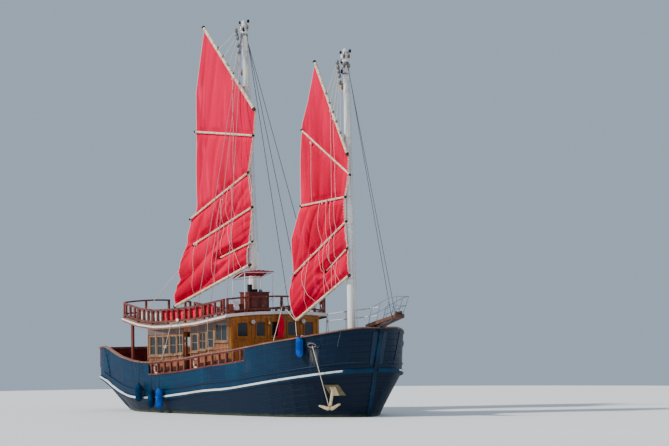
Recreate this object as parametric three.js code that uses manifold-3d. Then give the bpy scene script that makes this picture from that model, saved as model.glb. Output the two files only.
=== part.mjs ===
// A two-masted motor junk afloat: planked hull, deckhouse, upper deck and batten sails.
// Millimetres. +X points to the bow, +Y to port, +Z up, with the origin amidships on the waterline.
import * as THREE from 'three';
import { mergeVertices } from 'three/addons/utils/BufferGeometryUtils.js';
import Module from 'manifold-3d';

const wasm = await Module();
wasm.setup();

// Driving dimensions
const GAP = 0.3;                 // between pieces that touch
const STARBOARD = -1;
const PORT = 1;
const BULWARK_HEIGHT = 950;      // deck to the top of the cap rail
const BULWARK_THICK = 90;
const CAP_THICK = 60;
const CAP_OUT = 35;              // how far the cap rail stands out past the planking
const CAP_IN = 130;
const STEM_HALF = 110;           // half the thickness of the planking's end at the stem
const SEAM_X = 9380;             // seam of the bow planking, at the sheer
const KEEL_Z = -1620;
const KEEL_HALF = 110;

// Lines of the hull from aft to fore. Columns: x, z, half-breadth.
const SHEER = [
  [-9780, 3010, 1560], [-9300, 3040, 1850], [-8350, 3100, 2260], [-7260, 2880, 2500],
  [-6240, 2620, 2690], [-5230, 2460, 2800], [-4310, 2375, 2870], [-3400, 2380, 2920],
  [-2480, 2430, 2960], [-770, 2560, 3000], [850, 2760, 3000], [2700, 2930, 3000],
  [4200, 3100, 3000], [5720, 3290, 2990], [7420, 3470, 2920], [8120, 3570, 2690],
  [8520, 3640, 2500], [8820, 3700, 2260], [9320, 3810, 1780], [9600, 3880, 1390],
  [9850, 3935, 900], [9970, 3930, 510], [10040, 3920, STEM_HALF],
];
const WALE = [
  [-9850, 1570, 1400], [-9200, 1570, 1860], [-8500, 1500, 2150], [-7740, 1270, 2310],
  [-6640, 900, 2470], [-5390, 690, 2620], [-4000, 680, 2740], [-2320, 740, 2850],
  [750, 1060, 2950], [2960, 1200, 2970], [5690, 1530, 2950], [7200, 1700, 2820],
  [8070, 1820, 2580], [8760, 1910, 2190], [9300, 1995, 1490], [9500, 2030, 1000],
  [9610, 2055, STEM_HALF],
];
const TURN = [
  [-9850, 1360, 1180], [-9200, 1080, 1300], [-8600, 780, 1300], [-8000, 460, 1270],
  [-7200, 180, 1500], [-5500, 0, 2260], [-3000, 0, 2560], [0, 0, 2700],
  [3000, 0, 2720], [5500, 0, 2600], [7150, 0, 2200], [7650, 0, 1800],
  [8150, 0, 1350], [8650, 0, 850], [8900, 0, 450], [9070, 0, STEM_HALF],
];
const BILGE = [
  [-9830, 1330, 740], [-9200, 770, 720], [-8600, 270, 680], [-8000, -140, 700],
  [-7000, -470, 980], [-5500, -760, 1420], [-3000, -880, 1820], [0, -930, 1950],
  [3000, -930, 1900], [5500, -880, 1550], [7050, -790, 950], [8050, -680, 450],
  [8600, -560, 200], [8900, -480, STEM_HALF],
];
const RABBET = [
  [-9820, 1320, 90], [-9200, 730, 90], [-8600, 220, 90], [-8000, -190, 90],
  [-7000, -620, 90], [-5500, -960, 90], [-3000, -1110, 90], [0, -1160, 90],
  [3000, -1160, 90], [5500, -1130, 90], [7050, -1050, 90], [8050, -900, 90],
  [8550, -740, 85], [8780, -600, STEM_HALF],
];
const STATIONS = [
  -9780, -9400, -8900, -8350, -7800, -7260, -6740, -6240, -5230, -4310, -3400, -2480, -770, 850,
  2700, 4200, 5720, 6600, 7420, 8120, 8520, 8820, 9080, SEAM_X, 9600, 9740, 9850, 9920, 9980, 10040,
];
const STRETCH_FROM = 5000;       // beyond this the lines are stretched to end at the stem or the stern

// Colours, roughness and metalness
const LOOKS = {
  hull: [0x0d3c5f, 0.45, 0], keel: [0x1a1512, 0.7, 0], white: [0xe9e6df, 0.5, 0],
  cap: [0x965a50, 0.6, 0], varnish: [0x96551a, 0.4, 0], mahogany: [0x64231e, 0.45, 0],
  trim: [0xf2efe8, 0.5, 0], spar: [0xf0e1cd, 0.55, 0],
  sail: [0xd80f32, 0.85, 0], steel: [0xb9bec2, 0.25, 1], mast: [0xcdd0d2, 0.4, 0],
  wire: [0x50545a, 0.4, 0.8], iron: [0x5a3b2c, 0.8, 0.3], fender: [0x1f4fa5, 0.6, 0],
  ring: [0xe2581f, 0.6, 0], bronze: [0x8d6a35, 0.4, 1], canopy: [0xb43248, 0.85, 0],
};

// Tables: a value between the rows of a table, straight or along a fair curve
function rowBefore(table, x) {
  let row = 0;
  while (row < table.length - 2 && x > table[row + 1][0]) row += 1;
  return row;
}

function straight(table, x, column) {
  const row = rowBefore(table, x);
  const [a, b] = [table[row], table[row + 1]];
  const t = THREE.MathUtils.clamp((x - a[0]) / (b[0] - a[0]), 0, 1);
  return a[column] + t * (b[column] - a[column]);
}

function slopeAt(table, row, column) {
  const rise = (k) => (table[k + 1][column] - table[k][column]) / (table[k + 1][0] - table[k][0]);
  if (row === 0) return rise(0);
  if (row === table.length - 1) return rise(row - 1);
  const [before, after] = [rise(row - 1), rise(row)];
  return before * after <= 0 ? 0 : (2 * before * after) / (before + after);
}

function fair(table, x, column) {
  const row = rowBefore(table, x);
  const [a, b] = [table[row], table[row + 1]];
  const span = b[0] - a[0];
  const t = THREE.MathUtils.clamp((x - a[0]) / span, 0, 1);
  const [m0, m1] = [slopeAt(table, row, column) * span, slopeAt(table, row + 1, column) * span];
  return (2 * t ** 3 - 3 * t ** 2 + 1) * a[column] + (t ** 3 - 2 * t ** 2 + t) * m0
    + (3 * t ** 2 - 2 * t ** 3) * b[column] + (t ** 3 - t ** 2) * m1;
}

// Solids: closed meshes turned into manifolds, so that they can be joined and cut
function solid(points, faces) {
  const mesh = new wasm.Mesh({
    numProp: 3,
    vertProperties: new Float32Array(points.flat()),
    triVerts: new Uint32Array(faces.flat()),
  });
  return new wasm.Manifold(mesh);
}

function solidOf(geometry) {
  const bare = geometry.clone();
  bare.deleteAttribute('normal');
  bare.deleteAttribute('uv');
  const merged = mergeVertices(bare, 0.01);
  return new wasm.Manifold(new wasm.Mesh({
    numProp: 3,
    vertProperties: new Float32Array(merged.attributes.position.array),
    triVerts: new Uint32Array(merged.index.array),
  }));
}

function volumeUnder(points, faces) {
  let sum = 0;
  for (const [i, j, k] of faces) {
    const [a, b, c] = [points[i], points[j], points[k]];
    sum += a[0] * (b[1] * c[2] - b[2] * c[1]) - a[1] * (b[0] * c[2] - b[2] * c[0])
      + a[2] * (b[0] * c[1] - b[1] * c[0]);
  }
  return sum;
}

function capOf(ring, first) {
  const normal = new THREE.Vector3();
  ring.forEach((p, k) => {
    const q = ring[(k + 1) % ring.length];
    normal.x += (p[1] - q[1]) * (p[2] + q[2]);
    normal.y += (p[2] - q[2]) * (p[0] + q[0]);
    normal.z += (p[0] - q[0]) * (p[1] + q[1]);
  });
  const size = [Math.abs(normal.x), Math.abs(normal.y), Math.abs(normal.z)];
  const drop = size.indexOf(Math.max(...size));
  const [u, v] = [[1, 2], [2, 0], [0, 1]][drop];
  const flat = ring.map((p) => new THREE.Vector2(p[u], p[v]));
  const turned = THREE.ShapeUtils.isClockWise(flat);
  const order = ring.map((_, k) => (turned ? ring.length - 1 - k : k));
  const triangles = THREE.ShapeUtils.triangulateShape(order.map((k) => flat[k]), []);
  return triangles.map(([a, b, c]) => {
    const corners = [order[a], order[b], order[c]].map((k) => k + first);
    return turned ? corners.reverse() : corners;
  });
}

// A skin through rings of points, closed at both ends
function loft(rings) {
  const count = rings[0].length;
  const points = rings.flat();
  const last = (rings.length - 1) * count;
  const faces = [];
  for (let r = 0; r < last; r += count) {
    for (let k = 0; k < count; k += 1) {
      const [a, b] = [r + k, r + ((k + 1) % count)];
      faces.push([a, b, b + count], [a, b + count, a + count]);
    }
  }
  faces.push(...capOf(rings[0], 0).map((f) => [...f].reverse()), ...capOf(rings.at(-1), last));
  if (volumeUnder(points, faces) < 0) faces.forEach((f) => f.reverse());
  return solid(points, faces);
}

// A section [side, up] carried along a path
function sweep(path, section, up = [0, 0, 1]) {
  const upward = new THREE.Vector3(...up);
  const at = path.map((p) => new THREE.Vector3(...p));
  const rings = at.map((p, k) => {
    const along = at[Math.min(k + 1, at.length - 1)].clone().sub(at[Math.max(k - 1, 0)]).normalize();
    const side = along.clone().cross(upward).normalize();
    const high = side.clone().cross(along);
    return section.map(([s, h]) => p.clone().addScaledVector(side, s).addScaledVector(high, h).toArray());
  });
  return loft(rings);
}

function circle(radius, sides) {
  return Array.from({ length: sides }, (_, k) => {
    const turn = ((k + 0.5) * 2 * Math.PI) / sides;
    return [radius * Math.cos(turn), radius * Math.sin(turn)];
  });
}

function rectangle(width, height) {
  const [w, h] = [width / 2, height / 2];
  return [[-w, -h], [w, -h], [w, h], [-w, h]];
}

function rod(from, to, radius, sides = 8, endRadius = radius) {
  const [p, q] = [new THREE.Vector3(...from), new THREE.Vector3(...to)];
  const along = q.clone().sub(p).normalize();
  const up = Math.abs(along.z) > 0.9 ? new THREE.Vector3(1, 0, 0) : new THREE.Vector3(0, 0, 1);
  const side = along.clone().cross(up).normalize();
  const high = side.clone().cross(along);
  const ring = (centre, r) => circle(r, sides)
    .map(([s, h]) => centre.clone().addScaledVector(side, s).addScaledVector(high, h).toArray());
  return loft([ring(p, radius), ring(q, endRadius)]);
}

function tube(path, radius, sides = 8, up = [0, 0, 1]) {
  return sweep(path, circle(radius, sides), up);
}

function box(low, high) {
  const size = high.map((v, k) => v - low[k]);
  const geometry = new THREE.BoxGeometry(...size);
  geometry.translate(...low.map((v, k) => v + size[k] / 2));
  return solidOf(geometry);
}

// A flat outline of [x, z] points between two values of y, or of [y, z] points between two values of x
function plateXZ(outline, y0, y1) {
  return loft([outline.map(([x, z]) => [x, y0, z]), outline.map(([x, z]) => [x, y1, z])]);
}

function plateYZ(outline, x0, x1) {
  return loft([outline.map(([y, z]) => [x0, y, z]), outline.map(([y, z]) => [x1, y, z])]);
}

function join(solids) {
  return wasm.Manifold.union(solids);
}

function range(from, to, step) {
  const count = Math.round((to - from) / step);
  return Array.from({ length: count + 1 }, (_, k) => from + (k * (to - from)) / count);
}

function mix(p, q, t) {
  return p.map((v, k) => v + t * (q[k] - v));
}

function mirrorY(body) {
  return body.mirror([0, 1, 0]);
}

function onSide(body, side) {
  return side === PORT ? body : mirrorY(body);
}

// Moves a body along a direction until it nearly touches another one
function seat(body, direction, carrier) {
  let seated = body;
  for (let k = 0; k < 25; k += 1) {
    const step = seated.minGap(carrier, 1500) - GAP;
    seated = seated.translate(direction.map((v) => v * step));
  }
  return seated;
}

// Hull lines at a station, which is the x of the sheer there
function onLine(line, station) {
  const [aft, fore] = [line[0][0], line.at(-1)[0]];
  const [sheerAft, sheerFore] = [SHEER[0][0], SHEER.at(-1)[0]];
  let x = station;
  if (station > STRETCH_FROM) {
    x = STRETCH_FROM + ((station - STRETCH_FROM) * (fore - STRETCH_FROM)) / (sheerFore - STRETCH_FROM);
  }
  if (station < -STRETCH_FROM) {
    x = -STRETCH_FROM + ((station + STRETCH_FROM) * (aft + STRETCH_FROM)) / (sheerAft + STRETCH_FROM);
  }
  return { x, z: fair(line, x, 1), b: fair(line, x, 2) };
}

function between(p, q, t) {
  return { x: p.x + t * (q.x - p.x), z: p.z + t * (q.z - p.z), b: p.b + t * (q.b - p.b) };
}

function deckEdge(station) {
  const [sheer, wale] = [onLine(SHEER, station), onLine(WALE, station)];
  return between(wale, sheer, (sheer.z - BULWARK_HEIGHT - wale.z) / (sheer.z - wale.z));
}

function stationAtDeck(x) {
  let [low, high] = [SHEER[0][0], SHEER.at(-1)[0]];
  for (let k = 0; k < 40; k += 1) {
    const middle = (low + high) / 2;
    if (deckEdge(middle).x < x) low = middle;
    else high = middle;
  }
  return (low + high) / 2;
}

function deckZ(x) {
  return deckEdge(stationAtDeck(x)).z;
}

function sheerZ(x) {
  return fair(SHEER, x, 1);
}

function sheerB(x) {
  return fair(SHEER, x, 2);
}

// The hull, solid below its deck
const BILGE_ROUND = 110;

function hullRing(station) {
  const [wale, turn, bilge] = [WALE, TURN, BILGE].map((line) => onLine(line, station));
  const low = between(turn, bilge, 0.5);
  const fullness = Math.min(1, wale.b / 1500) * BILGE_ROUND;
  const side = [
    deckEdge(station), wale, between(wale, turn, 0.5), turn,
    { x: low.x, z: low.z - fullness * 0.5, b: low.b + fullness }, bilge, onLine(RABBET, station),
  ];
  const onAxis = (p) => [p.x, 0, p.z];
  return [onAxis(side[0]), ...side.map((p) => [p.x, p.b, p.z]), onAxis(side.at(-1))];
}

// The port half and its mirror image
function makeHull() {
  const half = loft(STATIONS.map(hullRing));
  return join([half, mirrorY(half)]);
}

// The hull, and the room it takes up under what stands on it and beside what lies against it
const hull = makeHull();
const hullWithGap = join([hull.translate([0, 0, GAP]), hull, hull.translate([0, 0, -GAP])]);
const hullGrown = hull.scale([1.00003, 1.00016, 1]);

// Half-breadth of the hull at x and z, below the deck
function hullAt(x, z) {
  const side = (station) => {
    const ring = hullRing(station).slice(1, -1);
    const k = Math.max(0, ring.findIndex((p, n) => n < ring.length - 1 && ring[n + 1][2] <= z));
    const t = (ring[k][2] - z) / (ring[k][2] - ring[k + 1][2]);
    return mix(ring[k], ring[k + 1], t);
  };
  let [low, high] = [SHEER[0][0], SHEER.at(-1)[0]];
  for (let k = 0; k < 30; k += 1) {
    const middle = (low + high) / 2;
    if (side(middle)[0] < x) low = middle;
    else high = middle;
  }
  return side(low)[1];
}

// Keel, forefoot, stem post, deadwood and the shoe under the rudder
const STERNPOST_X = -6950;
const SHOE_END_X = -8150;
const SHOE_TOP_Z = -1500;
const STEM_LINE = [
  [8990, -420], [9120, -200], [9195, 300], [9330, 830], [9480, 1400], [9590, 1900], [9780, 2440],
  [9960, 3180], [10090, 3640],
];

function makeKeel() {
  const top = SHEER.at(-1)[1] - CAP_THICK - GAP;
  const forefoot = [[6800, KEEL_Z], [7700, -1540], [8300, -1330], [8720, -950], [8890, -650]];
  const outer = [[SHOE_END_X, KEEL_Z], ...forefoot, ...STEM_LINE, [10105, top]];
  const foot = deckEdge(SHEER.at(-1)[0]);
  const behind = [[SHEER.at(-1)[0] + 2 * GAP, top], [foot.x + 2 * GAP, foot.z]];
  const inner = [...behind, [9200, 2000], [8600, 0], [8000, -700], [5500, -1000], [0, -1040],
    [-5500, -840], [STERNPOST_X, -520], [STERNPOST_X, SHOE_TOP_Z], [SHOE_END_X, SHOE_TOP_Z]];
  const timber = plateXZ([...outer, ...inner], -KEEL_HALF, KEEL_HALF);
  return timber.subtract(join([hull, hull.translate([GAP, 0, 0]), hull.translate([0, 0, -GAP])]));
}

// Bulwarks: a wall between the deck edge and the cap rail
function wallPath(stations) {
  return stations.map((s) => {
    const [low, high] = [deckEdge(s), onLine(SHEER, s)];
    return { low: [low.x, low.b, low.z], high: [high.x, high.b, high.z], inward: inwardAt(s) };
  });
}

// Level direction square to the sheer line, towards the middle of the ship
function inwardAt(station) {
  const reach = 40;
  const [from, to] = [Math.max(station - reach, SHEER[0][0]), Math.min(station + reach, SHEER.at(-1)[0])];
  const rise = sheerB(to) - sheerB(from);
  const length = Math.hypot(to - from, rise);
  return [rise / length, (from - to) / length];
}

function offset(point, normal, distance, lift) {
  return [point[0] + normal[0] * distance, point[1] + normal[1] * distance, point[2] + lift];
}

// Cap rails, which meet in front of the stem
const CAP_AFT = -9860;

function makeCapRailPort() {
  const rings = wallPath(STATIONS).map(({ high, inward }) => [
    offset(high, inward, -CAP_OUT, 0), offset(high, inward, CAP_IN, 0),
    offset(high, inward, CAP_IN, -CAP_THICK), offset(high, inward, -CAP_OUT, -CAP_THICK),
  ]);
  const [x, z] = SHEER.at(-1);
  const under = z - CAP_THICK;
  const nose = [[x + 70, GAP, z], [x - 150, GAP, z], [x - 150, GAP, under], [x + 70, GAP, under]];
  const tail = rings[0].map((p) => [CAP_AFT, p[1], p[2]]);
  return loft([tail, ...rings, nose]);
}

const capRailPort = makeCapRailPort();
const capWithGap = join([0, -2 * GAP].map((y) => capRailPort.translate([0, y, -GAP])));

function bulwarkSolid(path) {
  return loft(path.map(({ low, high, inward }) => [
    offset(low, inward, 0, 0), offset(high, inward, 0, -CAP_THICK / 2),
    offset(high, inward, BULWARK_THICK, -CAP_THICK / 2), offset(low, inward, BULWARK_THICK, 0),
  ]));
}

const BULWARK_AFT = -8700;        // where the planking stops below the cap rail
const BULWARK_FOOT_AFT = -9500;   // and at the deck
const SIDE_STATIONS = STATIONS.filter((s) => s < SEAM_X);
const BOW_STATIONS = [SEAM_X + 3, ...STATIONS.filter((s) => s > SEAM_X + 40)];

// Cuts the bulwark's after end on a slant, which leaves the stern corner open
function sternCutter() {
  const foot = deckZ(BULWARK_FOOT_AFT);
  return plateXZ([[BULWARK_AFT, 3300], [BULWARK_FOOT_AFT, foot + 120], [BULWARK_FOOT_AFT - 100, foot - 200],
    [-11000, foot - 200], [-11000, 3300]], 0, 4000);
}

// The long opening with balusters, just under the cap rail
const OPENING = { aft: -3650, fore: 4000, height: 560, step: 510 };

function openingSill(x) {
  return sheerZ(x) - CAP_THICK - OPENING.height;
}

function openingCutter() {
  const [spread, tall] = [260, 900];
  return loft(range(OPENING.aft, OPENING.fore, OPENING.step).map((x) => {
    const [near, far] = [sheerB(x) - spread, sheerB(x) + spread];
    const low = openingSill(x);
    return [[x, near, low], [x, far, low], [x, far, low + tall], [x, near, low + tall]];
  }));
}

const bulwarkPort = bulwarkSolid(wallPath([...SIDE_STATIONS, SEAM_X]))
  .subtract(join([openingCutter(), sternCutter(), hullWithGap, capWithGap]));

function makeBowBulwark() {
  const path = wallPath(BOW_STATIONS);
  const { low, high } = path.at(-1);
  const past = -5;
  const end = { low: [low[0], past, low[2]], high: [high[0], past, high[2]], inward: [-1, 0] };
  const half = bulwarkSolid([...path, end]);
  return join([half, mirrorY(half)]).subtract(join([hullWithGap, capWithGap, mirrorY(capWithGap)]));
}

// A balustrade: lower and upper rails that follow a curve, with balusters between them
function balustrade(spec) {
  const { from, to, pitch, stops, lineOf, low, high, railWidth, railHeight, post } = spec;
  const railAt = (height) => sweep(
    stops.map((s) => { const [x, y, z] = lineOf(s); return [x, y, z + height]; }),
    rectangle(railWidth, railHeight),
  );
  const half = post / 2;
  const bars = range(from + pitch / 2, to - pitch / 2, pitch).map((s) => {
    const [x, y, z] = lineOf(s);
    return box([x - half, y - half, z + low], [x + half, y + half, z + high]);
  });
  return join([railAt(low), railAt(high), ...bars]);
}

const BALUSTER = { pitch: 546, post: 96, rail: 60, width: 84, inset: 55 };

function makeBulwarkBalustrade(side) {
  const clear = GAP + 4;
  const [from, to] = [OPENING.aft + clear, OPENING.fore - clear];
  const inRail = BALUSTER.rail / 2 + GAP * 2;
  const body = balustrade({
    from, to, pitch: BALUSTER.pitch,
    stops: range(OPENING.aft, OPENING.fore, OPENING.step).map((x) => THREE.MathUtils.clamp(x, from, to)),
    lineOf: (x) => [x, sheerB(x) - BALUSTER.inset, openingSill(x)],
    low: inRail, high: OPENING.height - inRail,
    railWidth: BALUSTER.width, railHeight: BALUSTER.rail, post: BALUSTER.post,
  });
  const keepOut = join([bulwarkPort, bulwarkPort.translate([0, 0, GAP]), capRailPort, capWithGap]);
  return onSide(body.subtract(keepOut), side);
}

// The wale, a strake round the hull from the stern to the stem post
const WALE_HALF = 95;
const WALE_PROUD = 75;

function makeWale(side) {
  const points = STATIONS.map((s) => onLine(WALE, s));
  const rings = points.map((p, k) => {
    const [a, b] = [points[Math.max(k - 1, 0)], points[Math.min(k + 1, points.length - 1)]];
    const length = Math.hypot(b.x - a.x, b.b - a.b);
    const n = [-(b.b - a.b) / length, (b.x - a.x) / length];
    const at = (out, up) => [p.x + n[0] * out, p.b + n[1] * out, p.z + up];
    return [
      at(-120, -WALE_HALF), at(WALE_PROUD - 25, -WALE_HALF), at(WALE_PROUD, -WALE_HALF * 0.55),
      at(WALE_PROUD, WALE_HALF * 0.55), at(WALE_PROUD - 25, WALE_HALF), at(-120, WALE_HALF),
    ];
  });
  const inside = box([-11000, -10, 0], [11000, STEM_HALF + 1, 4000]);
  return onSide(loft(rings).subtract(join([hullGrown, inside])), side);
}

// Open frame across the stern, between the cap rails
const STERN = { x: -9790, half: 1470, thick: 90, pitch: 420 };

function makeTransomFrame() {
  const { x, half, thick } = STERN;
  const floor = deckZ(x + thick / 2) - 20;
  const top = sheerZ(x) - CAP_THICK - GAP;
  const slab = (y0, y1, low, high) => box([x, y0, low], [x + thick, y1, high]);
  const posts = [-half, half].map((y) => slab(y - 60, y + 60, floor, top));
  const balusters = range(-half + STERN.pitch, half - STERN.pitch, STERN.pitch)
    .map((y) => box([x + 20, y - 28, floor], [x + thick - 20, y + 28, top]));
  const rails = [slab(-half, half, floor, floor + 170), slab(-half, half, top - 70, top)];
  const handrail = slab(-half + CAP_IN, half - CAP_IN, top - 10, sheerZ(x));
  return join([...posts, ...balusters, ...rails, handrail]).subtract(hullWithGap);
}

// Upper deck. Columns: x, z of the white edge, half-width.
const ROOF = [
  [-7060, 4410, 2070], [-6340, 4290, 2200], [-5170, 4115, 2400], [-3600, 4010, 2640], [-2480, 4030, 2790],
  [-1200, 4080, 2880], [160, 4170, 2900], [1400, 4330, 2900], [2540, 4480, 2900],
];
const ROOF_THICK = 130;
const ROOF_CAMBER = 120;
const ROOF_PARTS = 6;

function roofRing(x) {
  const [z, half] = [straight(ROOF, x, 1), straight(ROOF, x, 2)];
  const row = (lift) => range(0, half, (2 * half) / ROOF_PARTS)
    .map((y) => [x, y, z + lift + ROOF_CAMBER * (1 - (y / half) ** 2)]);
  return [...row(-ROOF_THICK / 2), ...row(ROOF_THICK / 2).reverse()];
}

function roofTop(x, y) {
  const [z, half] = [straight(ROOF, x, 1), straight(ROOF, x, 2)];
  const step = (2 * half) / ROOF_PARTS;
  const camber = (v) => ROOF_CAMBER * (1 - (v / half) ** 2);
  const k = Math.min(ROOF_PARTS - 1, Math.max(0, Math.floor((y + half) / step)));
  const [y0, y1] = [-half + k * step, -half + (k + 1) * step];
  return z + ROOF_THICK / 2 + camber(y0) + ((camber(y1) - camber(y0)) * (y - y0)) / (y1 - y0);
}

const roofHalf = loft(ROOF.map(([x]) => roofRing(x)));
const roofSolid = join([roofHalf, mirrorY(roofHalf)]);

// Masts. Points on the axis are [x, z].
const MAST = {
  main: { axis: [[710, 5700], [170, 18150]], top: 18100, base: 200, tip: 105 },
  fore: { axis: [[7985, 3940], [7720, 16080]], top: 16200, base: 180, tip: 95 },
};
const COLLAR = { tall: 50, wide: 24 };
const MAST_SIDES = 16;

function mastX(mast, z) {
  const [[x0, z0], [x1, z1]] = mast.axis;
  return x0 + ((z - z0) * (x1 - x0)) / (z1 - z0);
}

// A point on the axis, a distance along it from where it is at height z
function alongMast(mast, z, distance) {
  const [[x0, z0], [x1, z1]] = mast.axis;
  const length = Math.hypot(x1 - x0, z1 - z0);
  return [mastX(mast, z) + (distance * (x1 - x0)) / length, 0, z + (distance * (z1 - z0)) / length];
}

function mastFoot(mast) {
  return deckZ(mastX(mast, 2200)) - 60;
}

function mastRadius(mast, z) {
  const foot = mastFoot(mast);
  const t = THREE.MathUtils.clamp((z - foot) / (mast.top - foot), 0, 1);
  return mast.base + (mast.tip - mast.base) * t ** 1.5;
}

function mastRing(mast, z, grow) {
  const radius = mastRadius(mast, z) + grow;
  return circle(radius, MAST_SIDES).map(([u, v]) => [mastX(mast, z) + u, v, z]);
}

function mastBody(mast, grow = 0) {
  const foot = mastFoot(mast);
  return loft(range(foot, mast.top, 2900).map((z) => mastRing(mast, z, grow)));
}

// The head carries a sheave block and a flat truck on the pole, and a collar holds up the boom's parrel.
// Heights are from the top of the pole.
const HEAD = {
  truck: [-30, 30], truckRadius: 45, band: [-560, -460], bandProud: 55,
  cheeks: [-420, -250], cheekHalf: [60, 200],
};

function makeMast(sail) {
  const { mast } = sail;
  const upright = (at, [low, high], radius, sides) => {
    const x = mastX(mast, mast.top + at);
    return rod([x, 0, mast.top + low], [x, 0, mast.top + high], radius, sides);
  };
  const truck = upright(0, HEAD.truck, HEAD.truckRadius, 12);
  const band = upright(-500, HEAD.band, mast.tip + HEAD.bandProud, 16);
  const x = mastX(mast, mast.top);
  const [along, across] = HEAD.cheekHalf;
  const [low, high] = HEAD.cheeks.map((z) => mast.top + z);
  const cheeks = box([x - along, -across, low], [x + along, across, high]);
  const z = parrelHeight(sail, sail.boom);
  const collarTop = -PARREL.tall / 2 - GAP;
  const collar = rod(alongMast(mast, z, collarTop - COLLAR.tall), alongMast(mast, z, collarTop),
    mastRadius(mast, z) + COLLAR.wide, MAST_SIDES);
  return join([mastBody(mast), truck, band, cheeks, collar]).subtract(hullWithGap);
}

// What stands on the upper deck is cut to its cambered top
const roofStack = join([0, 1, 2, 3].map((k) => roofSolid.translate([0, 0, GAP - k * 100])));

function onRoof(body) {
  return body.subtract(roofStack);
}

function makeUpperDeck() {
  return roofSolid.subtract(mastBody(MAST.main, 1));
}

// Deckhouse
const HOUSE = { fore: 2370, aft: -4200, half: 2520, wall: 60 };
const CUT = 50;                   // how far a cut reaches past each face of a wall
const SIDE_WINDOWS = [
  // from x, to x, height of the sill and of the head above the deck
  [-4010, -3550, 1240, 2100], [-3460, -2960, 1240, 2100], [-2880, -2460, 1240, 2080],
  [-2380, -1880, 1230, 2060], [-1800, -1370, 1230, 2040], [-1290, -750, 90, 2170],
  [-640, -170, 1220, 2000], [-50, 470, 1220, 1990], [590, 1070, 1220, 1990], [1230, 2130, 1450, 2210],
];
const FRONT_WINDOWS = [
  // from y, to y, z of the sill and of the head
  [-2130, -1520, 3510, 4180], [-1080, -560, 3510, 4200], [-240, 220, 3510, 4210], [700, 1260, 3510, 4200],
  [1660, 2180, 3510, 4180],
];
const DOORWAY = SIDE_WINDOWS[5];

function deckLine(from, to) {
  const stops = [from, ...STATIONS.map((s) => deckEdge(s).x).filter((x) => x > from && x < to), to];
  return stops.map((x) => [x, deckZ(x)]);
}

function trimmed(wall) {
  return wall.subtract(join([hull.translate([0, 0, GAP]), roofSolid.translate([0, 0, -GAP])]));
}

function makeHouseSide(side) {
  const [from, to] = [HOUSE.aft, HOUSE.fore - HOUSE.wall - GAP];
  const low = deckLine(from, to).map(([x, z]) => [x, z - 30]);
  const high = ROOF.map(([x]) => x).filter((x) => x > from && x < to);
  const top = [to, ...high.reverse(), from].map((x) => [x, roofTop(x, HOUSE.half) - 25]);
  const wall = plateXZ([...low, ...top], HOUSE.half - HOUSE.wall, HOUSE.half);
  const cuts = SIDE_WINDOWS.map(([x0, x1, sill, head]) => {
    const floor = deckZ((x0 + x1) / 2);
    return box([x0, HOUSE.half - 300, floor + sill], [x1, HOUSE.half + 300, floor + head]);
  });
  return onSide(trimmed(wall).subtract(join(cuts)), side);
}

function makeHouseFront() {
  const x = [HOUSE.fore - HOUSE.wall, HOUSE.fore];
  const low = deckZ(HOUSE.fore) - 60;
  const stops = range(-HOUSE.half, HOUSE.half, 840);
  const top = [...stops].reverse().map((y) => [y, roofTop(HOUSE.fore, y) - 60]);
  const wall = plateYZ([[-HOUSE.half, low], [HOUSE.half, low], ...top], x[0], x[1]);
  const [near, far] = [x[0] - CUT, x[1] + CUT];
  const cuts = FRONT_WINDOWS.map(([y0, y1, sill, head]) => box([near, y0, sill], [far, y1, head]));
  return trimmed(wall).subtract(join(cuts));
}

// Openings of the after wall. Columns: from y, to y, height of the foot and of the head above the deck.
const AFT_OPENINGS = [[-500, 500, 60, 2060], [-2100, -900, 1230, 2090], [900, 2100, 1230, 2090]];
const AFT_WALL_TOP = [4060, 4110];                      // z at the sides and in the middle

function makeHouseAft() {
  const x = [HOUSE.aft + GAP, HOUSE.aft + HOUSE.wall];
  const half = HOUSE.half - HOUSE.wall - GAP;
  const floor = deckZ(HOUSE.aft);
  const foot = floor - 60;
  const [eaves, ridge] = AFT_WALL_TOP;
  const wall = plateYZ([[-half, foot], [half, foot], [half, eaves], [0, ridge], [-half, eaves]], x[0], x[1]);
  const [near, far] = [x[0] - CUT, x[1] + CUT];
  const cuts = AFT_OPENINGS.map(([y0, y1, low, high]) => (
    box([near, y0, floor + low], [far, y1, floor + high])
  ));
  return trimmed(wall).subtract(join(cuts));
}

// Doors of the deckhouse, folded inwards on hinges at their after edge
const DOOR = { thick: 40, clear: 5, axisIn: 12, barrel: 11 };
const HINGE_HEIGHTS = [0.2, 0.8];

function doorAxis() {
  return [DOORWAY[0] + 4, HOUSE.half - HOUSE.wall - DOOR.axisIn];
}

function makeDoor(side) {
  const floor = deckZ((DOORWAY[0] + DOORWAY[1]) / 2);
  const [low, high] = [floor + DOORWAY[2] + 10, floor + DOORWAY[3] - 10];
  const width = DOORWAY[1] - DOORWAY[0] - 16;
  const [ax, ay] = doorAxis();
  const leaf = box([ax + DOOR.axisIn, ay - width, low], [ax + DOOR.axisIn + DOOR.thick, ay - 2, high]);
  const pane = box([ax - 50, ay - width + 110, low + 1050], [ax + 200, ay - 110, high - 120]);
  const knuckles = HINGE_HEIGHTS.map((t) => {
    const z = low + t * (high - low);
    const strap = box([ax, ay - 40, z], [ax + DOOR.axisIn + 5, ay, z + 60]);
    return join([rod([ax, ay, z], [ax, ay, z + 60], DOOR.barrel, 16), strap]);
  });
  return onSide(join([leaf.subtract(pane), ...knuckles]), side);
}

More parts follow.
